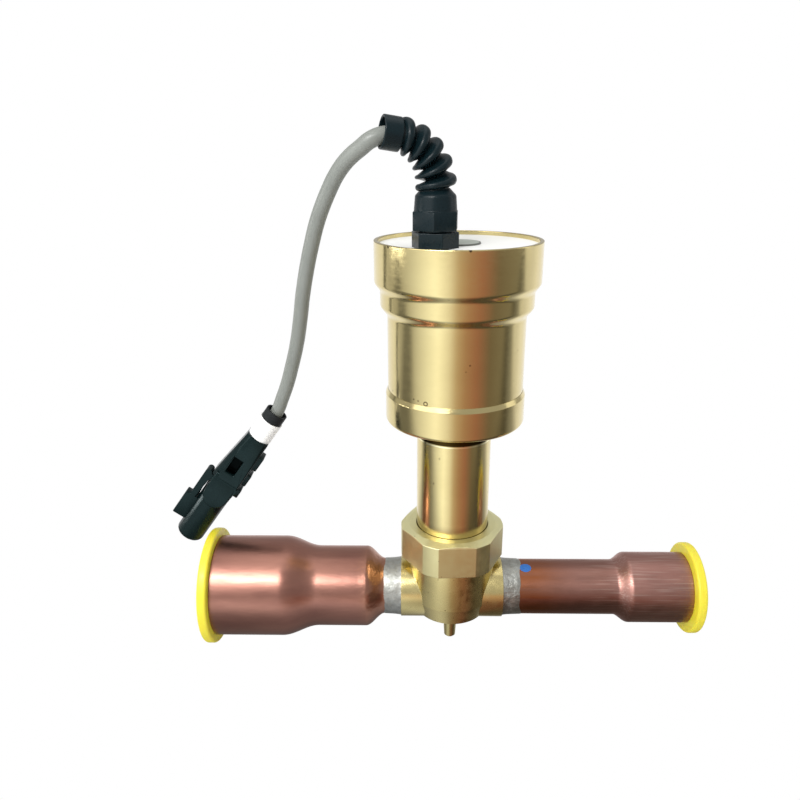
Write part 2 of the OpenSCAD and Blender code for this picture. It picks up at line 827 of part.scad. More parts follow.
// Side rail: a thick block on the barrel and a thin arm that stands free of it
module connector_rail() {
    arm_t = rail_arm[1] - rail_arm[0];
    translate([rail_block[0], -rail_t / 2, rail_block[2]])
        cube([rail_block[1] - rail_block[0], rail_t, rail_block[3] - rail_block[2]]);
    translate([rail_arm[0], -rail_t / 2, rail_arm[2]])
        cube([arm_t, rail_t, rail_arm[3] - rail_arm[2]]);
    translate([rail_arm[0] + arm_t / 2, 0, rail_arm[2]]) rotate([90, 0, 0])
        cylinder(d = arm_t, h = rail_t, center = true);
    translate([rail_block[0], -rail_t / 2, rail_arm[2]])
        cube([rail_arm[1] - rail_block[0], rail_t, rail_root_l]);
}

// Places children at the four terminal cavities, on the mating face
module at_cavities() {
    for (x = [-1, 1], y = [-1, 1])
        translate([barrel_x + x * cavity_pitch / 2, y * cavity_pitch / 2, barrel_end]) children();
}

module connector_housing() {
    color(black_nylon) at_connector() difference() {
        union() {
            connector_rear();
            connector_barrel();
            connector_tongue();
            connector_rail();
        }
        translate([window_at[0], -wide_t / 2, window_at[1]])
            cube([window_size[0], window_cut, window_size[1]]);
        at_cavities() translate([-cavity_w / 2, -cavity_w / 2, -cavity_l])
            cube([cavity_w, cavity_w, cavity_l + step]);
        translate([lock_low, -lock_t / 2 - seat, lock_blocks[0][0] - seat])
            cube([lock_top - lock_low + seat, lock_t + 2 * seat, lock_l + 2 * seat]);
    }
}

module connector_lock() {
    color("#141617") at_connector() union() {
        translate([lock_base, -lock_t / 2, lock_blocks[0][0]])
            cube([lock_top - lock_base, lock_t, lock_l]);
        for (b = lock_blocks) translate([lock_low, -lock_t / 2, b[0]])
            cube([lock_top - lock_low, lock_t, b[1] - b[0]]);
    }
}

module connector_terminals() {
    contact_d = cavity_w - 2 * seat;
    contact_bore_d = 1.1;
    color("#c8b26a") at_connector() at_cavities()
        translate([0, 0, -cavity_l]) ring(contact_d, contact_bore_d, cavity_l - step);
}

module outlet_pipe() {
    socket_r = outlet_bore_d / 2 + outlet_wall;
    neck_r = port_spigot_d / 2 + seat + outlet_wall;
    stem_r = outlet_stem_d / 2;
    socket_x = outlet_reach - outlet_socket_l;
    taper_x = boss_reach + braze_l;
    outside = concat(
        [[neck_r, boss_reach]],
        sweep(neck_r, taper_x, stem_r, taper_x + outlet_taper_l),
        sweep(stem_r, socket_x - outlet_sweep_l, socket_r, socket_x),
        [[socket_r, outlet_reach]]
    );
    color(copper) along_pipe(-1) polygon(shell(outside, outlet_wall));
}

module inlet_pipe() {
    socket_r = inlet_bore_d / 2 + inlet_wall;
    stem_r = port_spigot_d / 2 + seat + inlet_wall;
    socket_x = inlet_reach - inlet_socket_l;
    outside = concat(
        [[stem_r, boss_reach]],
        sweep(stem_r, socket_x - inlet_sweep_l, socket_r, socket_x),
        [[socket_r, inlet_reach]]
    );
    color(copper) along_pipe(1) polygon(shell(outside, inlet_wall));
}

// Fillet of braze round a pipe, against the boss
module braze(wall, side) {
    pipe_r = port_spigot_d / 2 + 2 * seat + wall;
    feather = 0.15;
    color(silver) along_pipe(side) polygon([
        [pipe_r, boss_reach], [pipe_r + braze_t, boss_reach],
        [pipe_r + braze_t / 2, boss_reach + braze_l / 3],
        [pipe_r + feather, boss_reach + braze_l], [pipe_r, boss_reach + braze_l]
    ]);
}

module outlet_braze() {
    braze(outlet_wall, -1);
}

module inlet_braze() {
    braze(inlet_wall, 1);
}

// Shipping plug: closed flange with a round rim and a hollow skirt in the socket
module shipping_plug(bore_d, flange_d, reach, side) {
    skirt_r = bore_d / 2 - run;
    rim_r = flange_d / 2 - plug_round;
    color(plug_yellow) along_pipe(side) polygon(concat(
        [[0, reach], [skirt_r - plug_wall, reach], [skirt_r - plug_wall, reach - plug_skirt_l],
            [skirt_r, reach - plug_skirt_l], [skirt_r, reach]],
        [for (a = [-90:15:0]) [rim_r + plug_round * cos(a), reach + plug_round * (1 + sin(a))]],
        [for (a = [0:15:90])
            [rim_r + plug_round * cos(a), reach + plug_flange_t - plug_round * (1 - sin(a))]],
        [[0, reach + plug_flange_t]]
    ));
}

module outlet_plug() {
    shipping_plug(outlet_bore_d, outlet_flange_d, outlet_reach, -1);
}

module inlet_plug() {
    shipping_plug(inlet_bore_d, inlet_flange_d, inlet_reach, 1);
}

valve_body();
port_sleeve();
seat_ring();
piston();
piston_seal();
drive_nut();
lead_screw();
neck_gasket();
neck_tube();
lock_nut();
lower_cup();
motor_can();
lower_end_plate();
lower_bush();
lower_stator();
lower_coil();
upper_stator();
upper_coil();
rotor_hub();
rotor_magnet();
upper_end_plate();
upper_bush();
terminal_board();
lead_wires();
dam_disc();
top_seal();
centre_disc();
gland_body();
gland_seal();
gland_nut();
cable();
cable_boot();
marker_sleeve();
connector_housing();
connector_lock();
connector_terminals();
outlet_pipe();
inlet_pipe();
outlet_braze();
inlet_braze();
outlet_plug();
inlet_plug();
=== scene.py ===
"""Looks of an electronic expansion valve: brass head and body, copper sockets, cable and connector."""
import json
import math

import bmesh
import bpy
from mathutils import Matrix, Vector

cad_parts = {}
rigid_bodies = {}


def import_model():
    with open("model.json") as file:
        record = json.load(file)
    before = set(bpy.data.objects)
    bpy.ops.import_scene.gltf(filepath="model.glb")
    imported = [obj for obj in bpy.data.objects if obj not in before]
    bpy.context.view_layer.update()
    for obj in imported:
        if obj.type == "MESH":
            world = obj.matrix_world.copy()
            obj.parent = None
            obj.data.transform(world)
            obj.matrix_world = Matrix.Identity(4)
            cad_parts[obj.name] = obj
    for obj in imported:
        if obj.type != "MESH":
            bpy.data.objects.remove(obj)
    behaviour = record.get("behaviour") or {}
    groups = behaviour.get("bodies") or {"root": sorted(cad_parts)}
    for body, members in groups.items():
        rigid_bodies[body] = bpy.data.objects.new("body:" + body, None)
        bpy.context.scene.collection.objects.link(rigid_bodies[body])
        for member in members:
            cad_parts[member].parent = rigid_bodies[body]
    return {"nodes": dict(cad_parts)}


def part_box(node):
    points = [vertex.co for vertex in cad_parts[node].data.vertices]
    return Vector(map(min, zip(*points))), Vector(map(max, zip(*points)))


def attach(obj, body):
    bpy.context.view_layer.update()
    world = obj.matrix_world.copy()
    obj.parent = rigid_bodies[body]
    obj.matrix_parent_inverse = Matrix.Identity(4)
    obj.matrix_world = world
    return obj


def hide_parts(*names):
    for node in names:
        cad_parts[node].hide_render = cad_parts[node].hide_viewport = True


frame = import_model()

bl_info = {
    "name": "Expansion Valve",
    "version": (1, 0, 0),
    "blender": (4, 2, 0),
    "location": "View3D > Sidebar > Valve",
    "description": "Builds the visible pieces of an electronic expansion valve on its CAD frame",
    "category": "Object",
}

MM = 0.001
TINY = 1e-6

# Sizes in millimetres: the gap between seated pieces, and the motor head
SEAT = 0.03
FLOOR_Z, HEAD_Z, RIM_Z = 84.4, 80.4, 152.0
MAIN_TOP_Z, MID_Z, MID_TOP_Z, TOP_Z = 123.2, 128.0, 132.6, 137.0
CAN_R, CAN_MID_R, CAN_TOP_R, CAN_WALL = 26.9, 29.6, 31.8, 1.5
CUP_R, CUP_ROUND, CUP_CHAMFER, CUP_CHAMFER_Z, CUP_TOP_Z = 27.8, 1.8, 0.8, 92.2, 94.0
NECK_R, NECK_FOOT_R, NECK_Z, NECK_FOOT_Z = 15.2, 16.2, 24.0, 27.55
NECK_BORE_R, NECK_MOUTH_R, NECK_MOUTH_Z = 11.5, 13.03, 33.0
DISC_R, DISC_T = 8.5, 2.2

# Pipes, where each widens along its axis, their plugs' flanges and the braze by height over the pipe
OUTLET_NECK_R, OUTLET_MID_R, OUTLET_R, OUTLET_WALL, OUTLET_REACH = 11.93, 17.3, 21.6, 0.9, 103.0
INLET_NECK_R, INLET_R, INLET_WALL, INLET_REACH = 11.83, 15.15, 0.8, 102.5
PIPE_START = 22.0
OUTLET_FLARE, OUTLET_SOCKET, INLET_SOCKET = (29.0, 37.5), (58.0, 74.0), (71.0, 77.5)
OUTLET_FLANGE_R, INLET_FLANGE_R = 25.0, 19.5
BRAZE_PROFILE = [(0, 22), (0.7, 22), (0.5, 23.2), (0.35, 24.5), (0.25, 26.5), (0.12, 28.6), (0, 29)]
BRAZE_EDGE_X, BRAZE_EDGE_L = 26, 3

# The white top, and the grey disc that stands a little above it
SEAL_TOP_Z, DISC_TOP_Z = 150.4, 151.0

# Gland: its axis, dome, the bent line of its spiral and its end collar
GLAND_X, GLAND_Y = -9.0, -11.5
DOME_Z, DOME_ROUND_Z, DOME_CONE_Z, SPIRAL_Z = 156.5, 163.3, 168.5, 171.2
SPIRAL_STRAIGHT, BEND_R = 1.0, 16.6
BEND_ANGLE, BEND_TURN = math.radians(81.5), math.radians(16)
SPIRAL_L = SPIRAL_STRAIGHT + BEND_R * BEND_ANGLE
DOME_BORE_R = 3.15
COLLAR_BORE_R, COLLAR_R, COLLAR_L, COLLAR_BURY = 4.8, 5.7, 6.5, 1.2
GLAND_STEPS = 64

# Cable route from inside the can to the connector, from where the gland's axis meets the white top
CABLE_OFFSETS = [
    (0, 0, -12.4), (0, 0, 0), (0, 0, 12), (0, 0, 21.8), (-0.5, -0.2, 26.1), (-2.1, -0.6, 30.1),
    (-4.7, -1.3, 33.5), (-8, -2.3, 36.1), (-11.2, -3.2, 37.4), (-14.4, -4.1, 38), (-18.1, -5.2, 37.9),
    (-22.2, -5.8, 36.4), (-25.7, -4.8, 33.9), (-29, -3.9, 31.4), (-31.7, -3, 28.8), (-34.9, -1.4, 24.6),
    (-37.4, 0.4, 20.3), (-40.3, 2.8, 14.6), (-43, 5.5, 8.4), (-45.5, 8, 0.9), (-48, 10.5, -7.8),
    (-50.8, 13.5, -19.6), (-52.8, 16.5, -30), (-55.2, 19.5, -40.8), (-58.4, 22.5, -51.6),
    (-61, 24.2, -59.6), (-63.7, 25.1, -66.4), (-66.5, 25.5, -72.9), (-74.3, 25.5, -83.6),
]
CABLE_ROUTE = [Vector((x + GLAND_X, y + GLAND_Y, z + SEAL_TOP_Z)) * MM for x, y, z in CABLE_OFFSETS]

# Connector's frame: its axis starts at the last but one point of the route, and its barrel lies off
# that axis
AT_CONNECTOR = Matrix.Translation(CABLE_ROUTE[-2]) @ Matrix.Rotation(math.radians(216), 4, "Y")
BARREL_X = 1.1


class ValveCamera(bpy.types.PropertyGroup):
    place: bpy.props.FloatVectorProperty(
        name="Place", description="Where the camera stands", size=3, subtype="TRANSLATION", unit="LENGTH",
        default=(-0.01676, -0.26767, 0.1832))
    yaw: bpy.props.FloatProperty(
        name="Yaw", description="Turn to the right", subtype="ANGLE", unit="ROTATION",
        default=math.radians(-1.16))
    pitch: bpy.props.FloatProperty(
        name="Pitch", description="Tilt downwards", subtype="ANGLE", unit="ROTATION",
        default=math.radians(19.58))
    roll: bpy.props.FloatProperty(
        name="Roll", description="Turn about the view", subtype="ANGLE", unit="ROTATION",
        default=math.radians(-0.32))
    lens: bpy.props.FloatProperty(
        name="Lens", description="Focal length in millimetres on a 36 mm sensor", default=31.5, min=10)


class ValveLook(bpy.types.PropertyGroup):
    edge: bpy.props.FloatProperty(
        name="Edge round", description="Radius of the small rounds on turned edges", unit="LENGTH",
        default=0.0003)
    soft_edge: bpy.props.FloatProperty(
        name="Connector edge", description="Radius of the rounds on the connector's edges", unit="LENGTH",
        default=0.0005)
    turn_steps: bpy.props.IntProperty(
        name="Turn steps", description="Segments of each turned piece", default=128, min=32)
    cable_diameter: bpy.props.FloatProperty(
        name="Cable diameter", description="Diameter of the cable", unit="LENGTH", default=0.0058)
    spiral_turns: bpy.props.IntProperty(
        name="Spiral turns", description="Turns of the gland's bend spiral", default=5, min=2)
    key_radiance: bpy.props.FloatProperty(
        name="Key light", description="Brightness of the large left light, where 1 is white", default=1.7)
    fill_radiance: bpy.props.FloatProperty(
        name="Fill light", description="Brightness of the right light, where 1 is white", default=0.8)
    top_radiance: bpy.props.FloatProperty(
        name="Top light", description="Brightness of the overhead light, where 1 is white", default=0.85)
    side_radiance: bpy.props.FloatProperty(
        name="Side light", description="Brightness of the low strip on the left, where 1 is white",
        default=14.0)
    lamp_radiance: bpy.props.FloatProperty(
        name="Lamp", description="Brightness of the small lamp that gives the highlights, where 1 is white",
        default=17.0)


def look():
    return bpy.context.scene.valve_look


# Node materials


def new_group(name, outputs, inputs=()):
    """A node group with its sockets, as (group, group input node, group output node)."""
    group = bpy.data.node_groups.new(name, "ShaderNodeTree")
    for label, kind, value in inputs:
        group.interface.new_socket(label, in_out="INPUT", socket_type=kind).default_value = value
    for label, kind in outputs:
        group.interface.new_socket(label, in_out="OUTPUT", socket_type=kind)
    return group, group.nodes.new("NodeGroupInput"), group.nodes.new("NodeGroupOutput")


def stretched_noise_group():
    """Noise in object space, stretched by a vector, as a value between two limits."""
    group, given, made = new_group(
        "Stretched Noise", [("Value", "NodeSocketFloat")],
        [("Stretch", "NodeSocketVector", (1, 1, 1)), ("Detail", "NodeSocketFloat", 3.0),
         ("Low", "NodeSocketFloat", 0.0), ("High", "NodeSocketFloat", 1.0)])
    nodes, links = group.nodes, group.links
    place = nodes.new("ShaderNodeTexCoord")
    scaled = nodes.new("ShaderNodeVectorMath")
    scaled.operation = "MULTIPLY"
    noise = nodes.new("ShaderNodeTexNoise")
    noise.inputs["Scale"].default_value = 1.0
    spread = nodes.new("ShaderNodeMapRange")
    spread.inputs["From Min"].default_value = 0.3
    spread.inputs["From Max"].default_value = 0.7
    links.new(place.outputs["Object"], scaled.inputs[0])
    links.new(given.outputs["Stretch"], scaled.inputs[1])
    links.new(scaled.outputs["Vector"], noise.inputs["Vector"])
    links.new(given.outputs["Detail"], noise.inputs["Detail"])
    links.new(noise.outputs["Fac"], spread.inputs["Value"])
    links.new(given.outputs["Low"], spread.inputs["To Min"])
    links.new(given.outputs["High"], spread.inputs["To Max"])
    links.new(spread.outputs["Result"], made.inputs["Value"])
    return group


def specks_group():
    """Scattered small round specks in object space, as a mask."""
    group, given, made = new_group(
        "Specks", [("Mask", "NodeSocketFloat")],
        [("Scale", "NodeSocketFloat", 400.0), ("Size", "NodeSocketFloat", 0.1)])
    nodes, links = group.nodes, group.links
    place = nodes.new("ShaderNodeTexCoord")
    cells = nodes.new("ShaderNodeTexVoronoi")
    small = nodes.new("ShaderNodeMath")
    small.operation = "LESS_THAN"
    links.new(place.outputs["Object"], cells.inputs["Vector"])
    links.new(given.outputs["Scale"], cells.inputs["Scale"])
    links.new(cells.outputs["Distance"], small.inputs[0])
    links.new(given.outputs["Size"], small.inputs[1])
    links.new(small.outputs["Value"], made.inputs["Mask"])
    return group


# Node groups and finished materials, filled by make_finishes
GROUPS = {}
FINISHES = {}

# Sockets of a Mix node that mixes colours
MIX_FACTOR, MIX_A, MIX_B, MIX_RESULT = 0, 6, 7, 2


class Finish:
    """One material under construction: a Principled shader and short ways to feed it."""

    def __init__(self, name, color, metallic, roughness):
        self.material = bpy.data.materials.new(name)
        self.material.use_nodes = True
        self.nodes, self.links = self.material.node_tree.nodes, self.material.node_tree.links
        self.shader = self.nodes["Principled BSDF"]
        self.shader.inputs["Base Color"].default_value = (*color, 1)
        self.shader.inputs["Metallic"].default_value = metallic
        self.shader.inputs["Roughness"].default_value = roughness
        self.color = None

    def noise(self, stretch, low, high, detail=3.0):
        """Noise between two values, finer along an axis where its stretch is larger."""
        node = self.nodes.new("ShaderNodeGroup")
        node.node_tree = GROUPS["noise"]
        node.inputs["Stretch"].default_value = stretch
        node.inputs["Low"].default_value = low
        node.inputs["High"].default_value = high
        node.inputs["Detail"].default_value = detail
        return node.outputs["Value"]

    def specks(self, scale, size):
        """Mask of scattered specks."""
        node = self.nodes.new("ShaderNodeGroup")
        node.node_tree = GROUPS["specks"]
        node.inputs["Scale"].default_value = scale
        node.inputs["Size"].default_value = size
        return node.outputs["Mask"]

    def spots(self, places, radius):
        """Mask of small round spots at given places in metres."""
        place = self.nodes.new("ShaderNodeTexCoord")
        mask = None
        for spot in places:
            gap = self.nodes.new("ShaderNodeVectorMath")
            gap.operation = "DISTANCE"
            gap.inputs[1].default_value = spot
            self.links.new(place.outputs["Object"], gap.inputs[0])
            near = self.math("LESS_THAN", gap.outputs["Value"], radius)
            mask = near if mask is None else self.math("MAXIMUM", mask, near)
        return mask

    def along(self, axis, start, end):
        """0 to 1 between two places along an axis, in millimetres."""
        place = self.nodes.new("ShaderNodeTexCoord")
        parts = self.nodes.new("ShaderNodeSeparateXYZ")
        spread = self.nodes.new("ShaderNodeMapRange")
        spread.interpolation_type = "SMOOTHSTEP"
        spread.inputs["From Min"].default_value = start * MM
        spread.inputs["From Max"].default_value = end * MM
        self.links.new(place.outputs["Object"], parts.inputs["Vector"])
        self.links.new(parts.outputs[axis], spread.inputs["Value"])
        return spread.outputs["Result"]

    def band(self, axis, start, end, fade):
        """Mask of the stretch between two places along an axis, faded at both ends, in millimetres."""
        begun = self.along(axis, start, start + fade)
        ended = self.along(axis, end - fade, end)
        return self.math("SUBTRACT", begun, ended)

    def math(self, operation, a, b):
        """A Math node on two values or sockets."""
        node = self.nodes.new("ShaderNodeMath")
        node.operation = operation
        for socket, value in zip(node.inputs, (a, b)):
            if isinstance(value, (int, float)):
                socket.default_value = value
            else:
                self.links.new(value, socket)
        return node.outputs["Value"]

    def tint(self, mask, color):
        """Blends a colour over the base colour by a mask."""
        mix = self.nodes.new("ShaderNodeMix")
        mix.data_type = "RGBA"
        if self.color is None:
            mix.inputs[MIX_A].default_value = self.shader.inputs["Base Color"].default_value
        else:
            self.links.new(self.color, mix.inputs[MIX_A])
        mix.inputs[MIX_B].default_value = (*color, 1)
        self.links.new(mask, mix.inputs[MIX_FACTOR])
        self.color = mix.outputs[MIX_RESULT]
        self.links.new(self.color, self.shader.inputs["Base Color"])

    def rough(self, value):
        """Roughness from a socket."""
        self.links.new(value, self.shader.inputs["Roughness"])
        return self

    def bump(self, height, depth, rounded=None):
        """Bump of a depth in metres, over edges rounded by the Bevel node where asked."""
        node = self.nodes.new("ShaderNodeBump")
        node.inputs["Distance"].default_value = depth
        self.links.new(height, node.inputs["Height"])
        if rounded:
            bevel = self.nodes.new("ShaderNodeBevel")
            bevel.samples = 6
            bevel.inputs["Radius"].default_value = rounded
            self.links.new(bevel.outputs["Normal"], node.inputs["Normal"])
        self.links.new(node.outputs["Normal"], self.shader.inputs["Normal"])


# Middle of the floor of the connector's window, and how far its shade reaches
CONNECTOR_WINDOW, WINDOW_REACH = (-95.0 * MM, 11.8 * MM, 53.0 * MM), 4.2 * MM


def around(radius, degrees, height):
    """Place on a wall round the valve's axis, from millimetres to metres."""
    a = math.radians(degrees)
    return (radius * MM * math.cos(a), radius * MM * math.sin(a), height * MM)


# Wear on the can: nicks on its rim, dark specks on its wall and a small ring just above the cup
RIM_NICKS = [around(CAN_TOP_R, a, z) for a, z in ((-144, 151.5), (-86, 151.8), (-7, 151.9))]
WALL_SPECKS = [
    around(CAN_R, a, z) for a, z in ((-128.2, 95.8), (-123.9, 95.5), (-82.4, 110.5), (-156.7, 95.6))
]
RING_MARK = [around(CAN_R, -117.1, 94.9)]

# Height where the painted shade on the neck begins: a painted highlight line below it stands for a rim's
# edge, and painted shade above it, up to the cup, stands for the cup's shadow
NECK_SHADE_EDGE_Z = 73.6


def brass_finishes():
    """Brass of the motor head and neck, the valve body and the lock nut."""
    nut_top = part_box("lock_nut")[1][2] / MM
    f = Finish("Turned brass", (0.69, 0.58, 0.285), 1, 0.22)
    f.tint(f.noise((25, 25, 60), 0.0, 0.5), (0.60, 0.49, 0.23))
    f.tint(f.specks(150, 0.05), (0.20, 0.15, 0.07))
    f.tint(f.spots(RIM_NICKS, 0.5 * MM), (0.14, 0.10, 0.05))
    f.tint(f.spots(WALL_SPECKS, 0.35 * MM), (0.30, 0.23, 0.11))
    ring = f.math("SUBTRACT", f.spots(RING_MARK, 0.95 * MM), f.spots(RING_MARK, 0.5 * MM))
    f.tint(ring, (0.16, 0.12, 0.055))
    f.tint(f.math("MULTIPLY", f.band("Z", nut_top - 4, nut_top + 6, 3.5), 0.6), (0.36, 0.27, 0.13))
    # Painted highlight: a thin bright line on the neck stands for the lit edge of a rim
    f.tint(f.band("Z", NECK_SHADE_EDGE_Z - 0.8, NECK_SHADE_EDGE_Z, 0.3), (0.90, 0.85, 0.55))
    # Painted shade: the neck under the cup is painted near black as the cup's shadow
    f.tint(f.band("Z", NECK_SHADE_EDGE_Z, HEAD_Z, 0.3), (0.04, 0.025, 0.006))
    f.rough(f.noise((300, 300, 900), 0.13, 0.21)).bump(f.noise((60, 60, 5000), 0, 1, 2), 0.000002)
    FINISHES["turned_brass"] = f.material

    f = Finish("Machined brass", (0.79, 0.665, 0.31), 1, 0.26)
    f.tint(f.noise((70, 70, 70), 0.0, 0.5), (0.68, 0.55, 0.235))
    stain = f.math("MULTIPLY", f.band("X", 1.0, 11.0, 3.0), f.noise((420, 420, 260), -0.7, 1.0, 5.0))
    f.tint(f.math("MAXIMUM", stain, 0.0), (0.44, 0.33, 0.13))
    f.tint(f.specks(330, 0.07), (0.15, 0.10, 0.05))
    f.rough(f.noise((300, 300, 300), 0.2, 0.32)).bump(f.noise((500, 500, 900), 0, 1), 0.000006, 0.0003)
    FINISHES["body_brass"] = f.material

    f = Finish("Lock nut brass", (0.76, 0.69, 0.37), 1, 0.4)
    f.tint(f.noise((70, 70, 70), 0.0, 0.4), (0.67, 0.58, 0.29))
    # Painted highlight: the nut's chamfer and top face are painted pale, as if lit from above
    f.tint(f.along("Z", nut_top - 1.9, nut_top - 1.2), (0.98, 0.93, 0.53))
    f.tint(f.specks(330, 0.05), (0.15, 0.10, 0.05))
    f.rough(f.noise((300, 300, 300), 0.36, 0.48)).bump(f.noise((700, 700, 1500), 0, 1), 0.000006, 0.0003)
    FINISHES["lock_nut"] = f.material


def pipe_finishes():
    """Copper of both pipes and the silver braze."""
    f = Finish("Outlet copper", (0.42, 0.205, 0.155), 1, 0.34)
    f.tint(f.noise((45, 160, 160), 0.0, 0.6), (0.27, 0.125, 0.10))
    f.tint(f.math("MULTIPLY", f.along("X", -42, -33), 0.7), (0.46, 0.23, 0.15))
    crumple = f.math("MULTIPLY", f.noise((350, 350, 350), 0, 1, 4), f.along("X", -41, -36))
    fine = f.math("MULTIPLY", f.noise((260, 900, 900), 0, 1), 0.12)
    f.rough(f.noise((120, 260, 260), 0.30, 0.38)).bump(f.math("ADD", crumple, fine), 0.00012)
    FINISHES["outlet_copper"] = f.material

    f = Finish("Inlet copper", (0.43, 0.23, 0.19), 1, 0.4)
    f.tint(f.noise((45, 160, 160), 0.0, 0.6), (0.35, 0.175, 0.15))
    # Painted shade: the narrow stretch of the pipe is darkened so that it mirrors less of the overhead
    # light
    narrow_shade = f.math("SUBTRACT", 0.7, f.math("MULTIPLY", f.along("X", 66, 75), 0.7))
    f.tint(narrow_shade, (0.27, 0.135, 0.105))
    heat = f.math("SUBTRACT", 1.0, f.along("X", 34, 56))
    f.tint(f.math("MULTIPLY", heat, f.noise((30, 300, 300), 0.35, 1.0)), (0.31, 0.105, 0.04))
    scratch = f.math("MULTIPLY", f.along("X", 50, 76), f.noise((60, 1600, 1600), -0.6, 0.6, 1.0))
    f.tint(scratch, (0.56, 0.38, 0.33))
    f.rough(f.noise((120, 260, 260), 0.36, 0.48)).bump(f.noise((200, 1200, 1200), 0, 1), 0.00001)
    FINISHES["inlet_copper"] = f.material

    f = Finish("Silver braze", (0.50, 0.51, 0.48), 1, 0.45)
    f.tint(f.noise((260, 260, 260), 0.0, 0.8), (0.30, 0.29, 0.26))
    f.rough(f.noise((500, 500, 500), 0.38, 0.6)).bump(f.noise((420, 420, 420), 0, 1, 6), 0.0002)
    FINISHES["braze"] = f.material


def black_finishes():
    """Nylon of the gland and the connector, and black rubber."""
    f = Finish("Black nylon", (0.003, 0.010, 0.013), 0, 0.3)
    f.tint(f.noise((300, 300, 300), 0.0, 0.5), (0.006, 0.012, 0.014))
    f.rough(f.noise((500, 500, 500), 0.24, 0.36)).bump(f.noise((2500, 2500, 2500), 0, 1), 0.000006, 0.0006)
    f.shader.inputs["Specular IOR Level"].default_value = 0.2
    FINISHES["black_nylon"] = f.material

    f = Finish("Connector nylon", (0.002, 0.0065, 0.007), 0, 0.22)
    f.tint(f.noise((300, 300, 300), 0.0, 0.5), (0.004, 0.010, 0.0105))
    window = f.spots([CONNECTOR_WINDOW], WINDOW_REACH)
    f.tint(window, (0.0005, 0.0008, 0.0008))
    f.rough(f.noise((500, 500, 500), 0.18, 0.28)).bump(f.noise((1800, 1800, 1800), 0, 1), 0.000005)
    f.shader.inputs["Specular Tint"].default_value = (0.7, 1.0, 1.0, 1)
    shine = f.math("MULTIPLY", f.math("SUBTRACT", 1.0, f.math("MULTIPLY", window, 0.85)), 0.2)
    f.links.new(shine, f.shader.inputs["Specular IOR Level"])
    FINISHES["connector_nylon"] = f.material

    f = Finish("Black rubber", (0.007, 0.009, 0.010), 0, 0.5)
    f.tint(f.noise((300, 300, 300), 0.0, 0.5), (0.011, 0.013, 0.014))
    f.rough(f.noise((500, 500, 500), 0.45, 0.6)).bump(f.noise((1500, 1500, 1500), 0, 1), 0.00001, 0.0004)
    f.shader.inputs["Specular IOR Level"].default_value = 0.22
    FINISHES["black_rubber"] = f.material


def pale_finishes():
    """Cable, plugs, white compound, sleeve, disc and paint dot."""
    f = Finish("Cable jacket", (0.195, 0.206, 0.187), 0, 0.42)
    f.tint(f.noise((120, 120, 60), 0.0, 0.5), (0.16, 0.171, 0.156))
    f.rough(f.noise((600, 600, 600), 0.34, 0.5)).bump(f.noise((1500, 1500, 700), 0, 1), 0.00001)
    FINISHES["cable_grey"] = f.material

    f = Finish("Yellow plug", (0.68, 0.59, 0.03), 0, 0.4)
    f.tint(f.noise((60, 60, 60), 0.0, 0.5), (0.74, 0.65, 0.05))
    f.rough(f.noise((400, 400, 400), 0.34, 0.48)).bump(f.noise((300, 300, 300), 0, 1), 0.00003, 0.0003)
    f.shader.inputs["Subsurface Weight"].default_value = 0.12
    f.shader.inputs["Subsurface Scale"].default_value = 0.002
    FINISHES["yellow_plug"] = f.material

    f = Finish("White compound", (0.84, 0.84, 0.81), 0, 0.5)
    f.tint(f.noise((90, 90, 90), 0.0, 0.4), (0.78, 0.79, 0.76))
    f.rough(f.noise((300, 300, 300), 0.4, 0.6)).bump(f.noise((160, 160, 160), 0, 1), 0.00003)
    FINISHES["white_compound"] = f.material

    f = Finish("White sleeve", (0.80, 0.80, 0.79), 0, 0.35)
    f.tint(f.noise((200, 200, 200), 0.0, 0.4), (0.72, 0.73, 0.73))
    f.rough(f.noise((300, 300, 300), 0.3, 0.45)).bump(f.noise((900, 900, 900), 0, 1), 0.00001, 0.0003)
    FINISHES["white_sleeve"] = f.material

    f = Finish("Grey disc", (0.40, 0.44, 0.385), 0, 0.5)
    f.tint(f.noise((200, 200, 200), 0.0, 0.5), (0.36, 0.39, 0.345))
    # Painted shade: the disc's outer edge and side wall are painted dark as the raised disc's shaded side
    inside = f.spots([(0, 0, DISC_TOP_Z * MM)], (DISC_R - 0.55) * MM)
    f.tint(f.math("SUBTRACT", 1.0, inside), (0.11, 0.12, 0.105))
    f.rough(f.noise((300, 300, 300), 0.4, 0.6)).bump(f.noise((900, 900, 900), 0, 1), 0.00001)
    FINISHES["grey_disc"] = f.material

    f = Finish("Blue paint", (0.012, 0.11, 0.40), 0, 0.4)
    f.tint(f.noise((900, 900, 900), 0.0, 0.5), (0.02, 0.15, 0.48))
    f.rough(f.noise((500, 500, 500), 0.35, 0.5)).bump(f.noise((900, 900, 900), 0, 1), 0.00002)
    FINISHES["blue_paint"] = f.material


def inner_finishes():
    """Materials of the pieces inside, one for each slot."""
    for slot, color, metallic in (
        ("steel", (0.42, 0.43, 0.44), 1), ("bronze", (0.45, 0.28, 0.13), 1),
        ("magnet", (0.05, 0.052, 0.055), 0.3), ("winding", (0.42, 0.16, 0.06), 1),
        ("ptfe", (0.82, 0.81, 0.75), 0), ("board", (0.02, 0.13, 0.05), 0),
        ("contact", (0.6, 0.5, 0.26), 1), ("copper", (0.5, 0.22, 0.14), 1),
    ):
        f = Finish(slot.capitalize(), color, metallic, 0.4)
        f.tint(f.noise((300, 300, 300), 0.0, 0.5), tuple(0.75 * c for c in color))
        f.rough(f.noise((400, 400, 900), 0.3, 0.5)).bump(f.noise((900, 900, 2500), 0, 1), 0.00002)
        FINISHES[slot] = f.material


def make_finishes():
    GROUPS["noise"] = stretched_noise_group()
    GROUPS["specks"] = specks_group()
    brass_finishes()
    pipe_finishes()
    black_finishes()
    pale_finishes()
    inner_finishes()


# Meshes


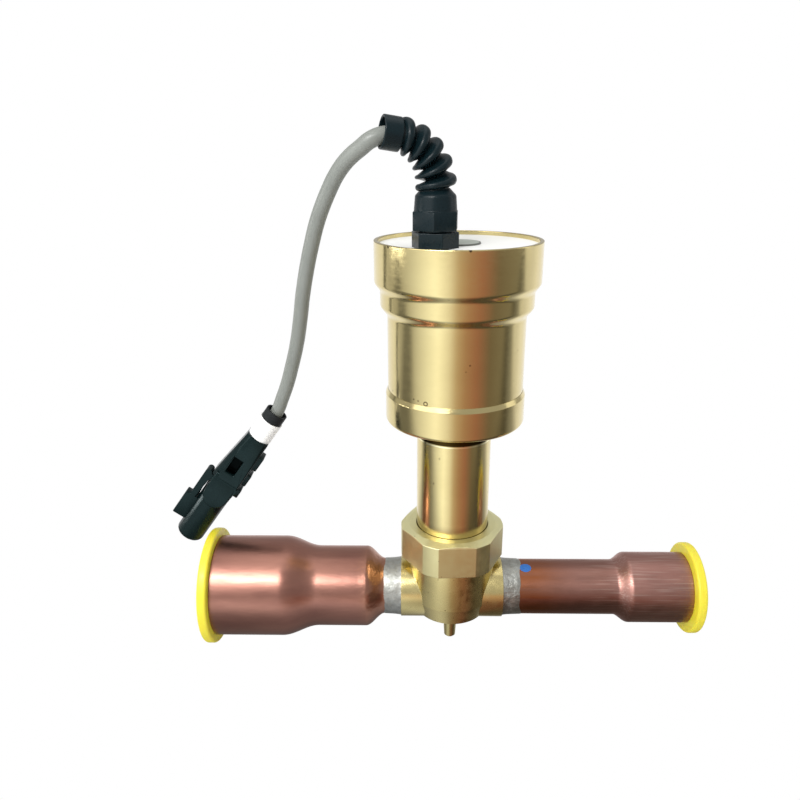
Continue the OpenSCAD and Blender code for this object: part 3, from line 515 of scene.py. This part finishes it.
def sweep(r0, x0, r1, x1, n=16):
    """Smooth run of radii between two places along an axis."""
    eased = [(1 - math.cos(math.pi * i / n)) / 2 for i in range(n + 1)]
    return [(r0 + (r1 - r0) * e, x0 + (x1 - x0) * i / n) for i, e in enumerate(eased)]


def arc(r, x, radius, start, step, count):
    """Points on a circle about (r, x), from a start angle by equal steps in degrees."""
    angles = [math.radians(start + step * i) for i in range(count)]
    return [(r + radius * math.cos(a), x + radius * math.sin(a)) for a in angles]


def shell(outside, wall):
    """Outer profile closed by the same profile moved in by a wall."""
    return outside + [(r - wall, x) for r, x in reversed(outside)]


# Corners blunter than this stay as they are, an arc takes at most this share of a side, and a point
# this share of the arc's cut past each end keeps smooth shading off the long walls
BLUNT, SIDE_SHARE, HOLD = math.radians(160), 0.45, 0.1


def rounded(profile, radius):
    """The closed profile with a short arc at each sharp corner off the axis."""
    made = []
    for i, (r, x) in enumerate(profile):
        here = Vector((r, x))
        back = Vector(profile[i - 1]) - here
        ahead = Vector(profile[(i + 1) % len(profile)]) - here
        short = min(back.length, ahead.length)
        if r < TINY or short < TINY or back.angle(ahead) > BLUNT:
            made.append((r, x))
            continue
        cut = min(radius, SIDE_SHARE * short)
        back.normalize()
        ahead.normalize()
        start, end = here + back * cut, here + ahead * cut
        bow = [start * (1 - t) ** 2 + here * 2 * t * (1 - t) + end * t * t for t in (0, 1 / 3, 2 / 3, 1)]
        held = (start + back * HOLD * cut, *bow, end + ahead * HOLD * cut)
        made += [(point.x, point.y) for point in held]
    return made


def lathe(bm, profile, matrix, steps):
    """Turns a closed profile of (radius, height) in millimetres about the matrix's Z axis."""
    before = set(bm.verts)
    verts = [bm.verts.new((r * MM, 0, z * MM)) for r, z in profile]
    edges = [bm.edges.new((verts[i - 1], verts[i])) for i in range(len(verts))
             if profile[i - 1][0] > TINY or profile[i][0] > TINY]
    bmesh.ops.spin(bm, geom=verts + edges, cent=(0, 0, 0), axis=(0, 0, 1), angle=2 * math.pi, steps=steps,
                   use_merge=True)
    fresh = [v for v in bm.verts if v not in before]
    bmesh.ops.remove_doubles(bm, verts=fresh, dist=TINY / 10)
    fresh = [v for v in bm.verts if v not in before]
    bmesh.ops.transform(bm, matrix=matrix, verts=fresh)


def soften(bm, edges, radius):
    """Rounds edges by a radius in metres."""
    bmesh.ops.bevel(bm, geom=edges, offset=radius, segments=3, profile=0.5, affect="EDGES")


# Edges between faces that meet at more than this stay sharp
SMOOTH_ANGLE = math.radians(35)


def finish_piece(bm, name, finish, nodes):
    """A mesh object from bm that stands for CAD nodes and rides on the valve."""
    bmesh.ops.recalc_face_normals(bm, faces=bm.faces[:])
    for face in bm.faces:
        face.smooth = True
    for edge in bm.edges:
        edge.smooth = edge.is_manifold and edge.calc_face_angle(0) < SMOOTH_ANGLE
    mesh = bpy.data.meshes.new(name)
    bm.to_mesh(mesh)
    bm.free()
    mesh.materials.append(FINISHES[finish])
    piece = bpy.data.objects.new(name, mesh)
    bpy.context.scene.collection.objects.link(piece)
    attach(piece, "valve")
    if nodes:
        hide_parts(*nodes)


UPRIGHT = Matrix.Identity(4)
TO_LEFT = Matrix.Rotation(-math.pi / 2, 4, "Y")
TO_RIGHT = Matrix.Rotation(math.pi / 2, 4, "Y")


def turned_piece(node, profile, finish, matrix=UPRIGHT, edge=None):
    """A turned piece in place of its CAD node."""
    bm = bmesh.new()
    radius = (look().edge / MM) if edge is None else edge
    lathe(bm, rounded(profile, radius), matrix, look().turn_steps)
    finish_piece(bm, node + "_turned", finish, [node])


def bent(s, u, v):
    """Place along the gland's bent axis in metres: u points away from the bend, v to the back."""
    a = min(max((s - SPIRAL_STRAIGHT) / BEND_R, 0), BEND_ANGLE)
    up, past = min(s, SPIRAL_STRAIGHT), max(s - SPIRAL_L, 0)
    out = (BEND_R + u) * math.cos(a) - BEND_R - past * math.sin(a)
    return Vector((
        GLAND_X + out * math.cos(BEND_TURN) - v * math.sin(BEND_TURN),
        GLAND_Y + out * math.sin(BEND_TURN) + v * math.cos(BEND_TURN),
        SPIRAL_Z + up + (BEND_R + u) * math.sin(a) + past * math.cos(a),
    )) * MM


# Operators

# Sensor width in millimetres, the floor's half width and height, and where the lights point
SENSOR = 36
FLOOR_HALF, FLOOR_HEIGHT = 3, -0.0285
LIGHTS_AIM = Vector((0, 0, 0.07))

# What the metal mirrors of the room, by degrees round the valve: 0 is the front and 90 the right
ROOM_COLOURS = [
    (-120, (1.1, 1.1, 1.1)), (-108, (0.56, 0.56, 0.55)), (-82, (0.56, 0.56, 0.55)),
    (-66, (0.9, 0.92, 0.95)), (-32, (1.6, 1.65, 1.7)), (-14, (1.15, 1.12, 1.1)),
    (-2, (0.72, 0.57, 0.45)), (12, (0.55, 0.34, 0.25)), (30, (0.46, 0.22, 0.17)),
    (52, (0.23, 0.19, 0.15)), (84, (0.30, 0.28, 0.24)), (96, (0.85, 0.85, 0.85)),
    (112, (0.9, 0.9, 0.95)), (124, (1.1, 1.1, 1.1)),
]

# Mirrored floor colours are dimmed near the line of the pipes, between these distances in metres
SHADE_START, SHADE_END, SHADE = 0.05, 0.12, 0.4


class VALVE_OT_stage(bpy.types.Operator):
    """Camera, lights and the plain white surroundings"""
    bl_idname = "valve.stage"
    bl_label = "Stage"

    def execute(self, context):
        scene = context.scene
        shot = scene.valve_camera
        forward = Vector((
            math.sin(shot.yaw) * math.cos(shot.pitch),
            math.cos(shot.yaw) * math.cos(shot.pitch),
            -math.sin(shot.pitch)))
        right = Vector((math.cos(shot.yaw), -math.sin(shot.yaw), 0))
        up = right.cross(forward)
        c, s = math.cos(shot.roll), math.sin(shot.roll)
        right, up = c * right + s * up, c * up - s * right
        camera = bpy.data.objects.new("Camera", bpy.data.cameras.new("Camera"))
        camera.data.lens = shot.lens
        camera.data.sensor_width = SENSOR
        camera.data.clip_start = 10 * MM
        camera.matrix_world = Matrix((
            (right.x, up.x, -forward.x, shot.place[0]),
            (right.y, up.y, -forward.y, shot.place[1]),
            (right.z, up.z, -forward.z, shot.place[2]),
            (0, 0, 0, 1)))
        scene.collection.objects.link(camera)
        scene.camera = camera
        self.floor()
        self.world(scene)
        for name, place, size, radiance in (
            ("Key", (-0.46, -0.46, 0.52), (0.8, 0.8), scene.valve_look.key_radiance),
            ("Fill", (0.75, 0.1, 0.35), (0.3, 0.6), scene.valve_look.fill_radiance),
            ("Top", (0.0, 0.05, 0.9), (0.7, 0.6), scene.valve_look.top_radiance),
            ("Side", (-1.0, 0.0, 0.09), (0.4, 0.06), scene.valve_look.side_radiance),
            ("Lamp", (-0.29, -0.54, 0.57), (0.38, 0.16), scene.valve_look.lamp_radiance),
        ):
            self.light(scene, name, Vector(place), size, radiance)
        scene.view_settings.view_transform = "Standard"
        return {"FINISHED"}

    def floor(self):
        bm = bmesh.new()
        bmesh.ops.create_grid(bm, x_segments=1, y_segments=1, size=FLOOR_HALF)
        bmesh.ops.translate(bm, verts=bm.verts[:], vec=(0, 0, FLOOR_HEIGHT))
        mesh = bpy.data.meshes.new("Floor")
        bm.to_mesh(mesh)
        bm.free()
        floor = bpy.data.objects.new("Floor", mesh)
        bpy.context.scene.collection.objects.link(floor)
        f = Finish("White floor", (0.8, 0.8, 0.8), 0, 0.8)
        f.tint(f.noise((2, 2, 2), 0.0, 0.3), (0.78, 0.78, 0.78))
        ray = f.nodes.new("ShaderNodeLightPath")
        room, white = f.nodes.new("ShaderNodeEmission"), f.nodes.new("ShaderNodeEmission")
        f.links.new(self.room_colours(f), room.inputs["Color"])
        seen = f.nodes.new("ShaderNodeMixShader")
        f.links.new(ray.outputs["Is Glossy Ray"], seen.inputs["Fac"])
        f.links.new(f.shader.outputs["BSDF"], seen.inputs[1])
        f.links.new(room.outputs["Emission"], seen.inputs[2])
        mix = f.nodes.new("ShaderNodeMixShader")
        f.links.new(ray.outputs["Is Camera Ray"], mix.inputs["Fac"])
        f.links.new(seen.outputs["Shader"], mix.inputs[1])
        f.links.new(white.outputs["Emission"], mix.inputs[2])
        f.links.new(mix.outputs["Shader"], f.nodes["Material Output"].inputs["Surface"])
        floor.data.materials.append(f.material)

    def room_colours(self, f):
        """What the metal mirrors of the room, by the angle round the valve."""
        place = f.nodes.new("ShaderNodeTexCoord")
        parts = f.nodes.new("ShaderNodeSeparateXYZ")
        f.links.new(place.outputs["Object"], parts.inputs["Vector"])
        angle = f.math("ARCTAN2", parts.outputs["X"], f.math("MULTIPLY", parts.outputs["Y"], -1.0))
        turn = f.math("ADD", f.math("DIVIDE", angle, 2 * math.pi), 0.5)
        ramp = f.nodes.new("ShaderNodeValToRGB")
        stops = ramp.color_ramp.elements
        stops[0].color = stops[1].color = (*ROOM_COLOURS[0][1], 1)
        for degrees, color in ROOM_COLOURS:
            stops.new(degrees / 360 + 0.5).color = (*color, 1)
        f.links.new(turn, ramp.inputs["Fac"])
        near = f.nodes.new("ShaderNodeMapRange")
        near.inputs["From Min"].default_value = SHADE_START
        near.inputs["From Max"].default_value = SHADE_END
        near.inputs["To Min"].default_value = SHADE
        f.links.new(f.math("ABSOLUTE", parts.outputs["Y"], 0), near.inputs["Value"])
        dimmed = f.nodes.new("ShaderNodeVectorMath")
        dimmed.operation = "SCALE"
        f.links.new(ramp.outputs["Color"], dimmed.inputs[0])
        f.links.new(near.outputs["Result"], dimmed.inputs["Scale"])
        return dimmed.outputs["Vector"]

    def world(self, scene):
        world = scene.world or bpy.data.worlds.new("World")
        scene.world = world
        world.use_nodes = True
        nodes, links = world.node_tree.nodes, world.node_tree.links
        nodes.clear()
        ray = nodes.new("ShaderNodeLightPath")
        shader = None
        for ray_kind, strength in ((None, 0.75), ("Is Glossy Ray", 0.5), ("Is Camera Ray", 1.0)):
            light = nodes.new("ShaderNodeBackground")
            light.inputs["Color"].default_value = (1, 1, 1, 1)
            light.inputs["Strength"].default_value = strength
            if shader is None:
                shader = light.outputs["Background"]
                continue
            mix = nodes.new("ShaderNodeMixShader")
            links.new(ray.outputs[ray_kind], mix.inputs["Fac"])
            links.new(shader, mix.inputs[1])
            links.new(light.outputs["Background"], mix.inputs[2])
            shader = mix.outputs["Shader"]
        links.new(shader, nodes.new("ShaderNodeOutputWorld").inputs["Surface"])

    def light(self, scene, name, place, size, radiance):
        lamp = bpy.data.lights.new(name, "AREA")
        lamp.shape = "RECTANGLE"
        lamp.size, lamp.size_y = size
        lamp.energy = radiance * math.pi * size[0] * size[1]
        light = bpy.data.objects.new(name, lamp)
        light.location = place
        light.rotation_euler = (LIGHTS_AIM - place).to_track_quat("-Z", "Y").to_euler()
        light.visible_camera = False
        scene.collection.objects.link(light)


class VALVE_OT_connector(bpy.types.Operator):
    """Connector housing and lock with softened edges, in place of the sharp CAD pieces"""
    bl_idname = "valve.connector"
    bl_label = "Connector"

    # Edges longer and sharper than this are softened
    shortest, sharpest = 1.5 * MM, math.radians(40)

    def execute(self, context):
        for node in ("connector_housing", "connector_lock"):
            bm = bmesh.new()
            bm.from_mesh(frame["nodes"][node].data)
            bm.transform(frame["nodes"][node].matrix_world)
            bmesh.ops.remove_doubles(bm, verts=bm.verts[:], dist=TINY)
            bmesh.ops.dissolve_limit(bm, angle_limit=math.radians(1), verts=bm.verts[:], edges=bm.edges[:])
            sharp = [e for e in bm.edges if e.is_manifold and e.calc_length() > self.shortest
                     and e.calc_face_angle(0) > self.sharpest]
            soften(bm, sharp, look().soft_edge)
            if node == "connector_housing":
                self.tongue(bm)
            finish_piece(bm, node + "_soft", "connector_nylon", [node])
        return {"FINISHED"}

    def tongue(self, bm):
        """Tongue with a round end that rises from the rear of the housing and laps over the barrel."""
        half, start, end, thick = 5.6, 36.0, 51.8, 3.5
        front_y, rise = -6.9, 0.11
        outline = [(BARREL_X - half, start), (BARREL_X + half, start)]
        outline += arc(BARREL_X, end - half, half, 0, 15, 13)
        places = [Vector((x, front_y - rise * (z - start), z)) * MM for x, z in outline]
        front = [bm.verts.new(AT_CONNECTOR @ place) for place in places]
        made = bmesh.ops.extrude_face_region(bm, geom=[bm.faces.new(front)])["geom"]
        back = [g for g in made if isinstance(g, bmesh.types.BMVert)]
        bmesh.ops.translate(bm, verts=back, vec=(0, thick * MM, 0))
        rim = [e for e in bm.edges if all(v in front for v in e.verts)]
        soften(bm, rim, look().soft_edge)


class VALVE_OT_cable(bpy.types.Operator):
    """The grey cable as one curve from inside the can to the connector"""
    bl_idname = "valve.cable"
    bl_label = "Cable"

    def execute(self, context):
        diameter = look().cable_diameter
        data = bpy.data.curves.new("Cable", "CURVE")
        data.dimensions = "3D"
        data.bevel_depth = diameter / 2
        data.bevel_resolution = 6
        data.resolution_u = 8
        data.use_fill_caps = True
        spline = data.splines.new("BEZIER")
        spline.bezier_points.add(len(CABLE_ROUTE) - 1)
        for point, place in zip(spline.bezier_points, CABLE_ROUTE):
            point.co = place
            point.handle_left_type = point.handle_right_type = "AUTO"
        data.materials.append(FINISHES["cable_grey"])
        cable = bpy.data.objects.new("Cable", data)
        context.scene.collection.objects.link(cable)
        context.view_layer.update()
        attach(cable, "valve")
        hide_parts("cable")
        carried = [frame["nodes"][n] for n in ("cable_boot", "marker_sleeve", "connector_terminals")]
        carried += [bpy.data.objects[n] for n in ("connector_housing_soft", "connector_lock_soft")]
        return {"FINISHED"}


class VALVE_OT_head(bpy.types.Operator):
    """Turned brass of the motor head, can, lower cup and neck, and the grey disc on its white top"""
    bl_idname = "valve.head"
    bl_label = "Motor head"

    def execute(self, context):
        outside = [(CAN_R, FLOOR_Z)]
        outside += sweep(CAN_R, MAIN_TOP_Z, CAN_MID_R, MID_Z)
        outside += sweep(CAN_MID_R, MID_TOP_Z, CAN_TOP_R, TOP_Z)
        outside += [(CAN_TOP_R, RIM_Z)]
        turned_piece("motor_can", shell(outside, CAN_WALL), "turned_brass")
        cup = [(NECK_R + SEAT, HEAD_Z)]
        cup += arc(CUP_R - CUP_ROUND, HEAD_Z + CUP_ROUND, CUP_ROUND, -90, 9, 11)
        cup += [(CUP_R, CUP_CHAMFER_Z), (CUP_R - CUP_CHAMFER, CUP_TOP_Z), (CAN_R + SEAT, CUP_TOP_Z),
                (CAN_R + SEAT, FLOOR_Z), (NECK_R + SEAT, FLOOR_Z)]
        turned_piece("lower_cup", cup, "turned_brass", edge=0.15)
        neck = [(NECK_MOUTH_R, NECK_Z), (NECK_FOOT_R, NECK_Z), (NECK_FOOT_R, NECK_FOOT_Z),
                (NECK_R, NECK_FOOT_Z), (NECK_R, FLOOR_Z), (NECK_BORE_R, FLOOR_Z),
                (NECK_BORE_R, NECK_MOUTH_Z), (NECK_MOUTH_R, NECK_MOUTH_Z)]
        turned_piece("neck_tube", neck, "turned_brass")
        disc_z = SEAL_TOP_Z - DISC_T
        disc = [(0, disc_z), (DISC_R, disc_z), (DISC_R, DISC_TOP_Z), (0, DISC_TOP_Z)]
        turned_piece("centre_disc", disc, "grey_disc", edge=0.2)
        return {"FINISHED"}


class VALVE_OT_pipes(bpy.types.Operator):
    """Copper pipes and their yellow shipping plugs"""
    bl_idname = "valve.pipes"
    bl_label = "Pipes and plugs"

    def execute(self, context):
        outside = [(OUTLET_NECK_R, PIPE_START)]
        outside += sweep(OUTLET_NECK_R, OUTLET_FLARE[0], OUTLET_MID_R, OUTLET_FLARE[1])
        outside += sweep(OUTLET_MID_R, OUTLET_SOCKET[0], OUTLET_R, OUTLET_SOCKET[1])
        outside += [(OUTLET_R, OUTLET_REACH)]
        turned_piece("outlet_pipe", shell(outside, OUTLET_WALL), "outlet_copper", TO_LEFT)
        outside = [(INLET_NECK_R, PIPE_START)]
        outside += sweep(INLET_NECK_R, INLET_SOCKET[0], INLET_R, INLET_SOCKET[1])
        outside += [(INLET_R, INLET_REACH)]
        turned_piece("inlet_pipe", shell(outside, INLET_WALL), "inlet_copper", TO_RIGHT)
        self.plug("outlet_plug", OUTLET_R - OUTLET_WALL, OUTLET_FLANGE_R, OUTLET_REACH, TO_LEFT)
        self.plug("inlet_plug", INLET_R - INLET_WALL, INLET_FLANGE_R, INLET_REACH, TO_RIGHT)
        return {"FINISHED"}

    def plug(self, node, bore_r, flange_r, reach, matrix):
        """Plug with a skirt in the socket and a rounded flange on its end."""
        play, wall, depth, thick, corner = 0.05, 1.6, 12, 4, 1
        skirt, rim = bore_r - play, flange_r - corner
        profile = [(0, reach), (skirt - wall, reach), (skirt - wall, reach - depth), (skirt, reach - depth),
                   (skirt, reach)]
        profile += arc(rim, reach + corner, corner, -90, 15, 7)
        profile += arc(rim, reach + thick - corner, corner, 0, 15, 7)
        profile += [(0, reach + thick)]
        turned_piece(node, profile, "yellow_plug", matrix, edge=0.2)


class VALVE_OT_braze(bpy.types.Operator):
    """Silver braze with an uneven edge on both pipes, and the blue paint dot on the inlet pipe"""
    bl_idname = "valve.braze"
    bl_label = "Braze and paint dot"

    def execute(self, context):
        for node, pipe_r, matrix, lean in (
            ("outlet_braze", OUTLET_NECK_R + SEAT, TO_LEFT, 0.0),
            ("inlet_braze", INLET_NECK_R + SEAT, TO_RIGHT, 0.13),
        ):
            bm = bmesh.new()
            lathe(bm, [(pipe_r + r, x) for r, x in BRAZE_PROFILE], matrix, look().turn_steps)
            self.uneven(bm, lean)
            finish_piece(bm, node + "_run", "braze", [node])
        self.dot(x=32.2 * MM, pipe_r=INLET_NECK_R * MM, angle=math.radians(105.5), radius=2.3 * MM)
        return {"FINISHED"}

    def uneven(self, bm, lean):
        """Moves the thin edge along the pipe, more towards the bottom where it leans."""
        for vert in bm.verts:
            reach = abs(vert.co.x) / MM
            if reach > BRAZE_EDGE_X:
                angle = math.atan2(vert.co.z, vert.co.y)
                wave = 0.35 * math.sin(3 * angle + 1) + 0.25 * math.sin(7 * angle)
                share = (reach - BRAZE_EDGE_X) / BRAZE_EDGE_L
                vert.co.x += math.copysign(share * (wave + 0.4 - lean * vert.co.z / MM) * MM, vert.co.x)

    def dot(self, x, pipe_r, angle, radius):
        """Thin blob of paint that follows the pipe, a little longer along it."""
        crown, film, longer = 0.12 * MM, 0.01 * MM, 1.1
        bm = bmesh.new()
        bmesh.ops.create_circle(bm, cap_ends=True, cap_tris=True, segments=24, radius=radius)
        bmesh.ops.subdivide_edges(bm, edges=bm.edges[:], cuts=3, use_grid_fill=True)
        for vert in bm.verts:
            across = angle + vert.co.y / pipe_r
            lift = pipe_r + crown * max(0, 1 - (vert.co.xy.length / radius) ** 2) + film
            vert.co = (x + vert.co.x * longer, lift * math.cos(across), lift * math.sin(across))
        finish_piece(bm, "paint_dot", "blue_paint", [])


class VALVE_OT_gland(bpy.types.Operator):
    """Gland nut moulded in one with its bent spiral and end collar"""
    bl_idname = "valve.gland"
    bl_label = "Gland nut"

    def execute(self, context):
        bm = bmesh.new()
        self.spiral(bm, inner=3.5, outer=7.5, end=6.0, root_half=2.5, rim_half=1.2)
        self.hexagon(bm, flats=15.6, low=DOME_Z, high=DOME_ROUND_Z, turn=math.radians(25))
        at_gland = Matrix.Translation((GLAND_X * MM, GLAND_Y * MM, 0))
        dome = [(DOME_BORE_R, DOME_ROUND_Z - 1), (7.4, DOME_ROUND_Z - 1), (7.7, DOME_ROUND_Z),
                (7.3, DOME_CONE_Z), (4.7, SPIRAL_Z), (DOME_BORE_R, SPIRAL_Z)]
        lathe(bm, rounded(dome, 0.5), at_gland, GLAND_STEPS)
        end = Matrix.Translation(bent(SPIRAL_L - COLLAR_BURY, 0, 0)) @ Matrix.Rotation(BEND_TURN, 4, "Z")
        collar = [(COLLAR_BORE_R, 0), (COLLAR_R, 0), (COLLAR_R, COLLAR_L), (COLLAR_BORE_R, COLLAR_L)]
        lathe(bm, rounded(collar, 0.4), end @ Matrix.Rotation(-BEND_ANGLE, 4, "Y"), GLAND_STEPS)
        finish_piece(bm, "gland_nut_moulded", "black_nylon", ["gland_nut"])
        return {"FINISHED"}

    def spiral(self, bm, inner, outer, end, root_half, rim_half):
        """Ribbon with a rounded rim, wound round the bent axis and narrower towards its end."""
        section = [(inner, -root_half)]
        section += arc(outer - rim_half, 0, rim_half, -90, 20, 10)
        section += [(inner, root_half)]
        steps, fade_steps, sink = 48, 16, 0.3
        last = look().spiral_turns * steps
        rings = []
        for i in range(last + 1):
            a = math.pi + 2 * math.pi * i / steps
            # The end of the ribbon sinks into the collar
            depth = 1 - sink * max(i - last + fade_steps, 0) / fade_steps
            depth *= 1 - i / last * (outer - end) / (outer - inner)
            ring = [(inner + depth * (r - inner), s) for r, s in section]
            rings.append([bm.verts.new(bent(SPIRAL_L * i / last + s, r * math.cos(a), r * math.sin(a)))
                          for r, s in ring])
        for near, far in zip(rings, rings[1:]):
            for j in range(len(section)):
                bm.faces.new((near[j - 1], far[j - 1], far[j], near[j]))
        bm.faces.new(rings[0])
        bm.faces.new(list(reversed(rings[-1])))

    def hexagon(self, bm, flats, low, high, turn):
        """Hexagon prism with rounded edges on the gland's axis."""
        radius = flats / 2 / math.cos(math.radians(30)) * MM
        # Blender starts a circle on +Y, so the prism is turned by a right angle to match the CAD hexagon
        spin = Matrix.Rotation(turn + math.pi / 2, 4, "Z")
        matrix = Matrix.Translation((GLAND_X * MM, GLAND_Y * MM, low * MM)) @ spin
        made = bmesh.ops.create_circle(bm, cap_ends=True, segments=6, radius=radius, matrix=matrix)["verts"]
        top = bmesh.ops.extrude_face_region(bm, geom=[made[0].link_faces[0]])["geom"]
        raised = [g for g in top if isinstance(g, bmesh.types.BMVert)]
        bmesh.ops.translate(bm, verts=raised, vec=(0, 0, (high - low) * MM))
        corners = set(made + raised)
        soften(bm, [e for e in bm.edges if any(v in corners for v in e.verts)], 0.4 * MM)


class VALVE_OT_paint(bpy.types.Operator):
    """Materials on every CAD node that shows as it is"""
    bl_idname = "valve.paint"
    bl_label = "Finishes on CAD pieces"

    def execute(self, context):
        for node in frame["nodes"].values():
            for slot in node.material_slots:
                slot.material = FINISHES.get(node.name) or FINISHES[slot.material.name]
        return {"FINISHED"}


class VALVE_PT_panel(bpy.types.Panel):
    """Settings and builders of the valve"""
    bl_idname = "VALVE_PT_panel"
    bl_label = "Expansion Valve"
    bl_space_type = "VIEW_3D"
    bl_region_type = "UI"
    bl_category = "Valve"

    def draw(self, context):
        layout = self.layout
        for group in (context.scene.valve_camera, context.scene.valve_look):
            for name in group.__annotations__:
                layout.prop(group, name)
        for operator in OPERATORS:
            layout.operator(operator.bl_idname)


GROUPS_OF_SETTINGS = (ValveCamera, ValveLook)
OPERATORS = (
    VALVE_OT_stage, VALVE_OT_connector, VALVE_OT_cable, VALVE_OT_head, VALVE_OT_pipes, VALVE_OT_braze,
    VALVE_OT_gland, VALVE_OT_paint)


def register():
    for cls in (*GROUPS_OF_SETTINGS, *OPERATORS, VALVE_PT_panel):
        bpy.utils.register_class(cls)
    bpy.types.Scene.valve_camera = bpy.props.PointerProperty(type=ValveCamera)
    bpy.types.Scene.valve_look = bpy.props.PointerProperty(type=ValveLook)


def unregister():
    del bpy.types.Scene.valve_camera
    del bpy.types.Scene.valve_look
    for cls in reversed((*GROUPS_OF_SETTINGS, *OPERATORS, VALVE_PT_panel)):
        bpy.utils.unregister_class(cls)


def main():
    register()
    make_finishes()
    bpy.ops.valve.stage()
    bpy.ops.valve.connector()
    bpy.ops.valve.cable()
    bpy.ops.valve.head()
    bpy.ops.valve.pipes()
    bpy.ops.valve.braze()
    bpy.ops.valve.gland()
    bpy.ops.valve.paint()
    bpy.context.view_layer.update()


if __name__ == "__main__":
    main()
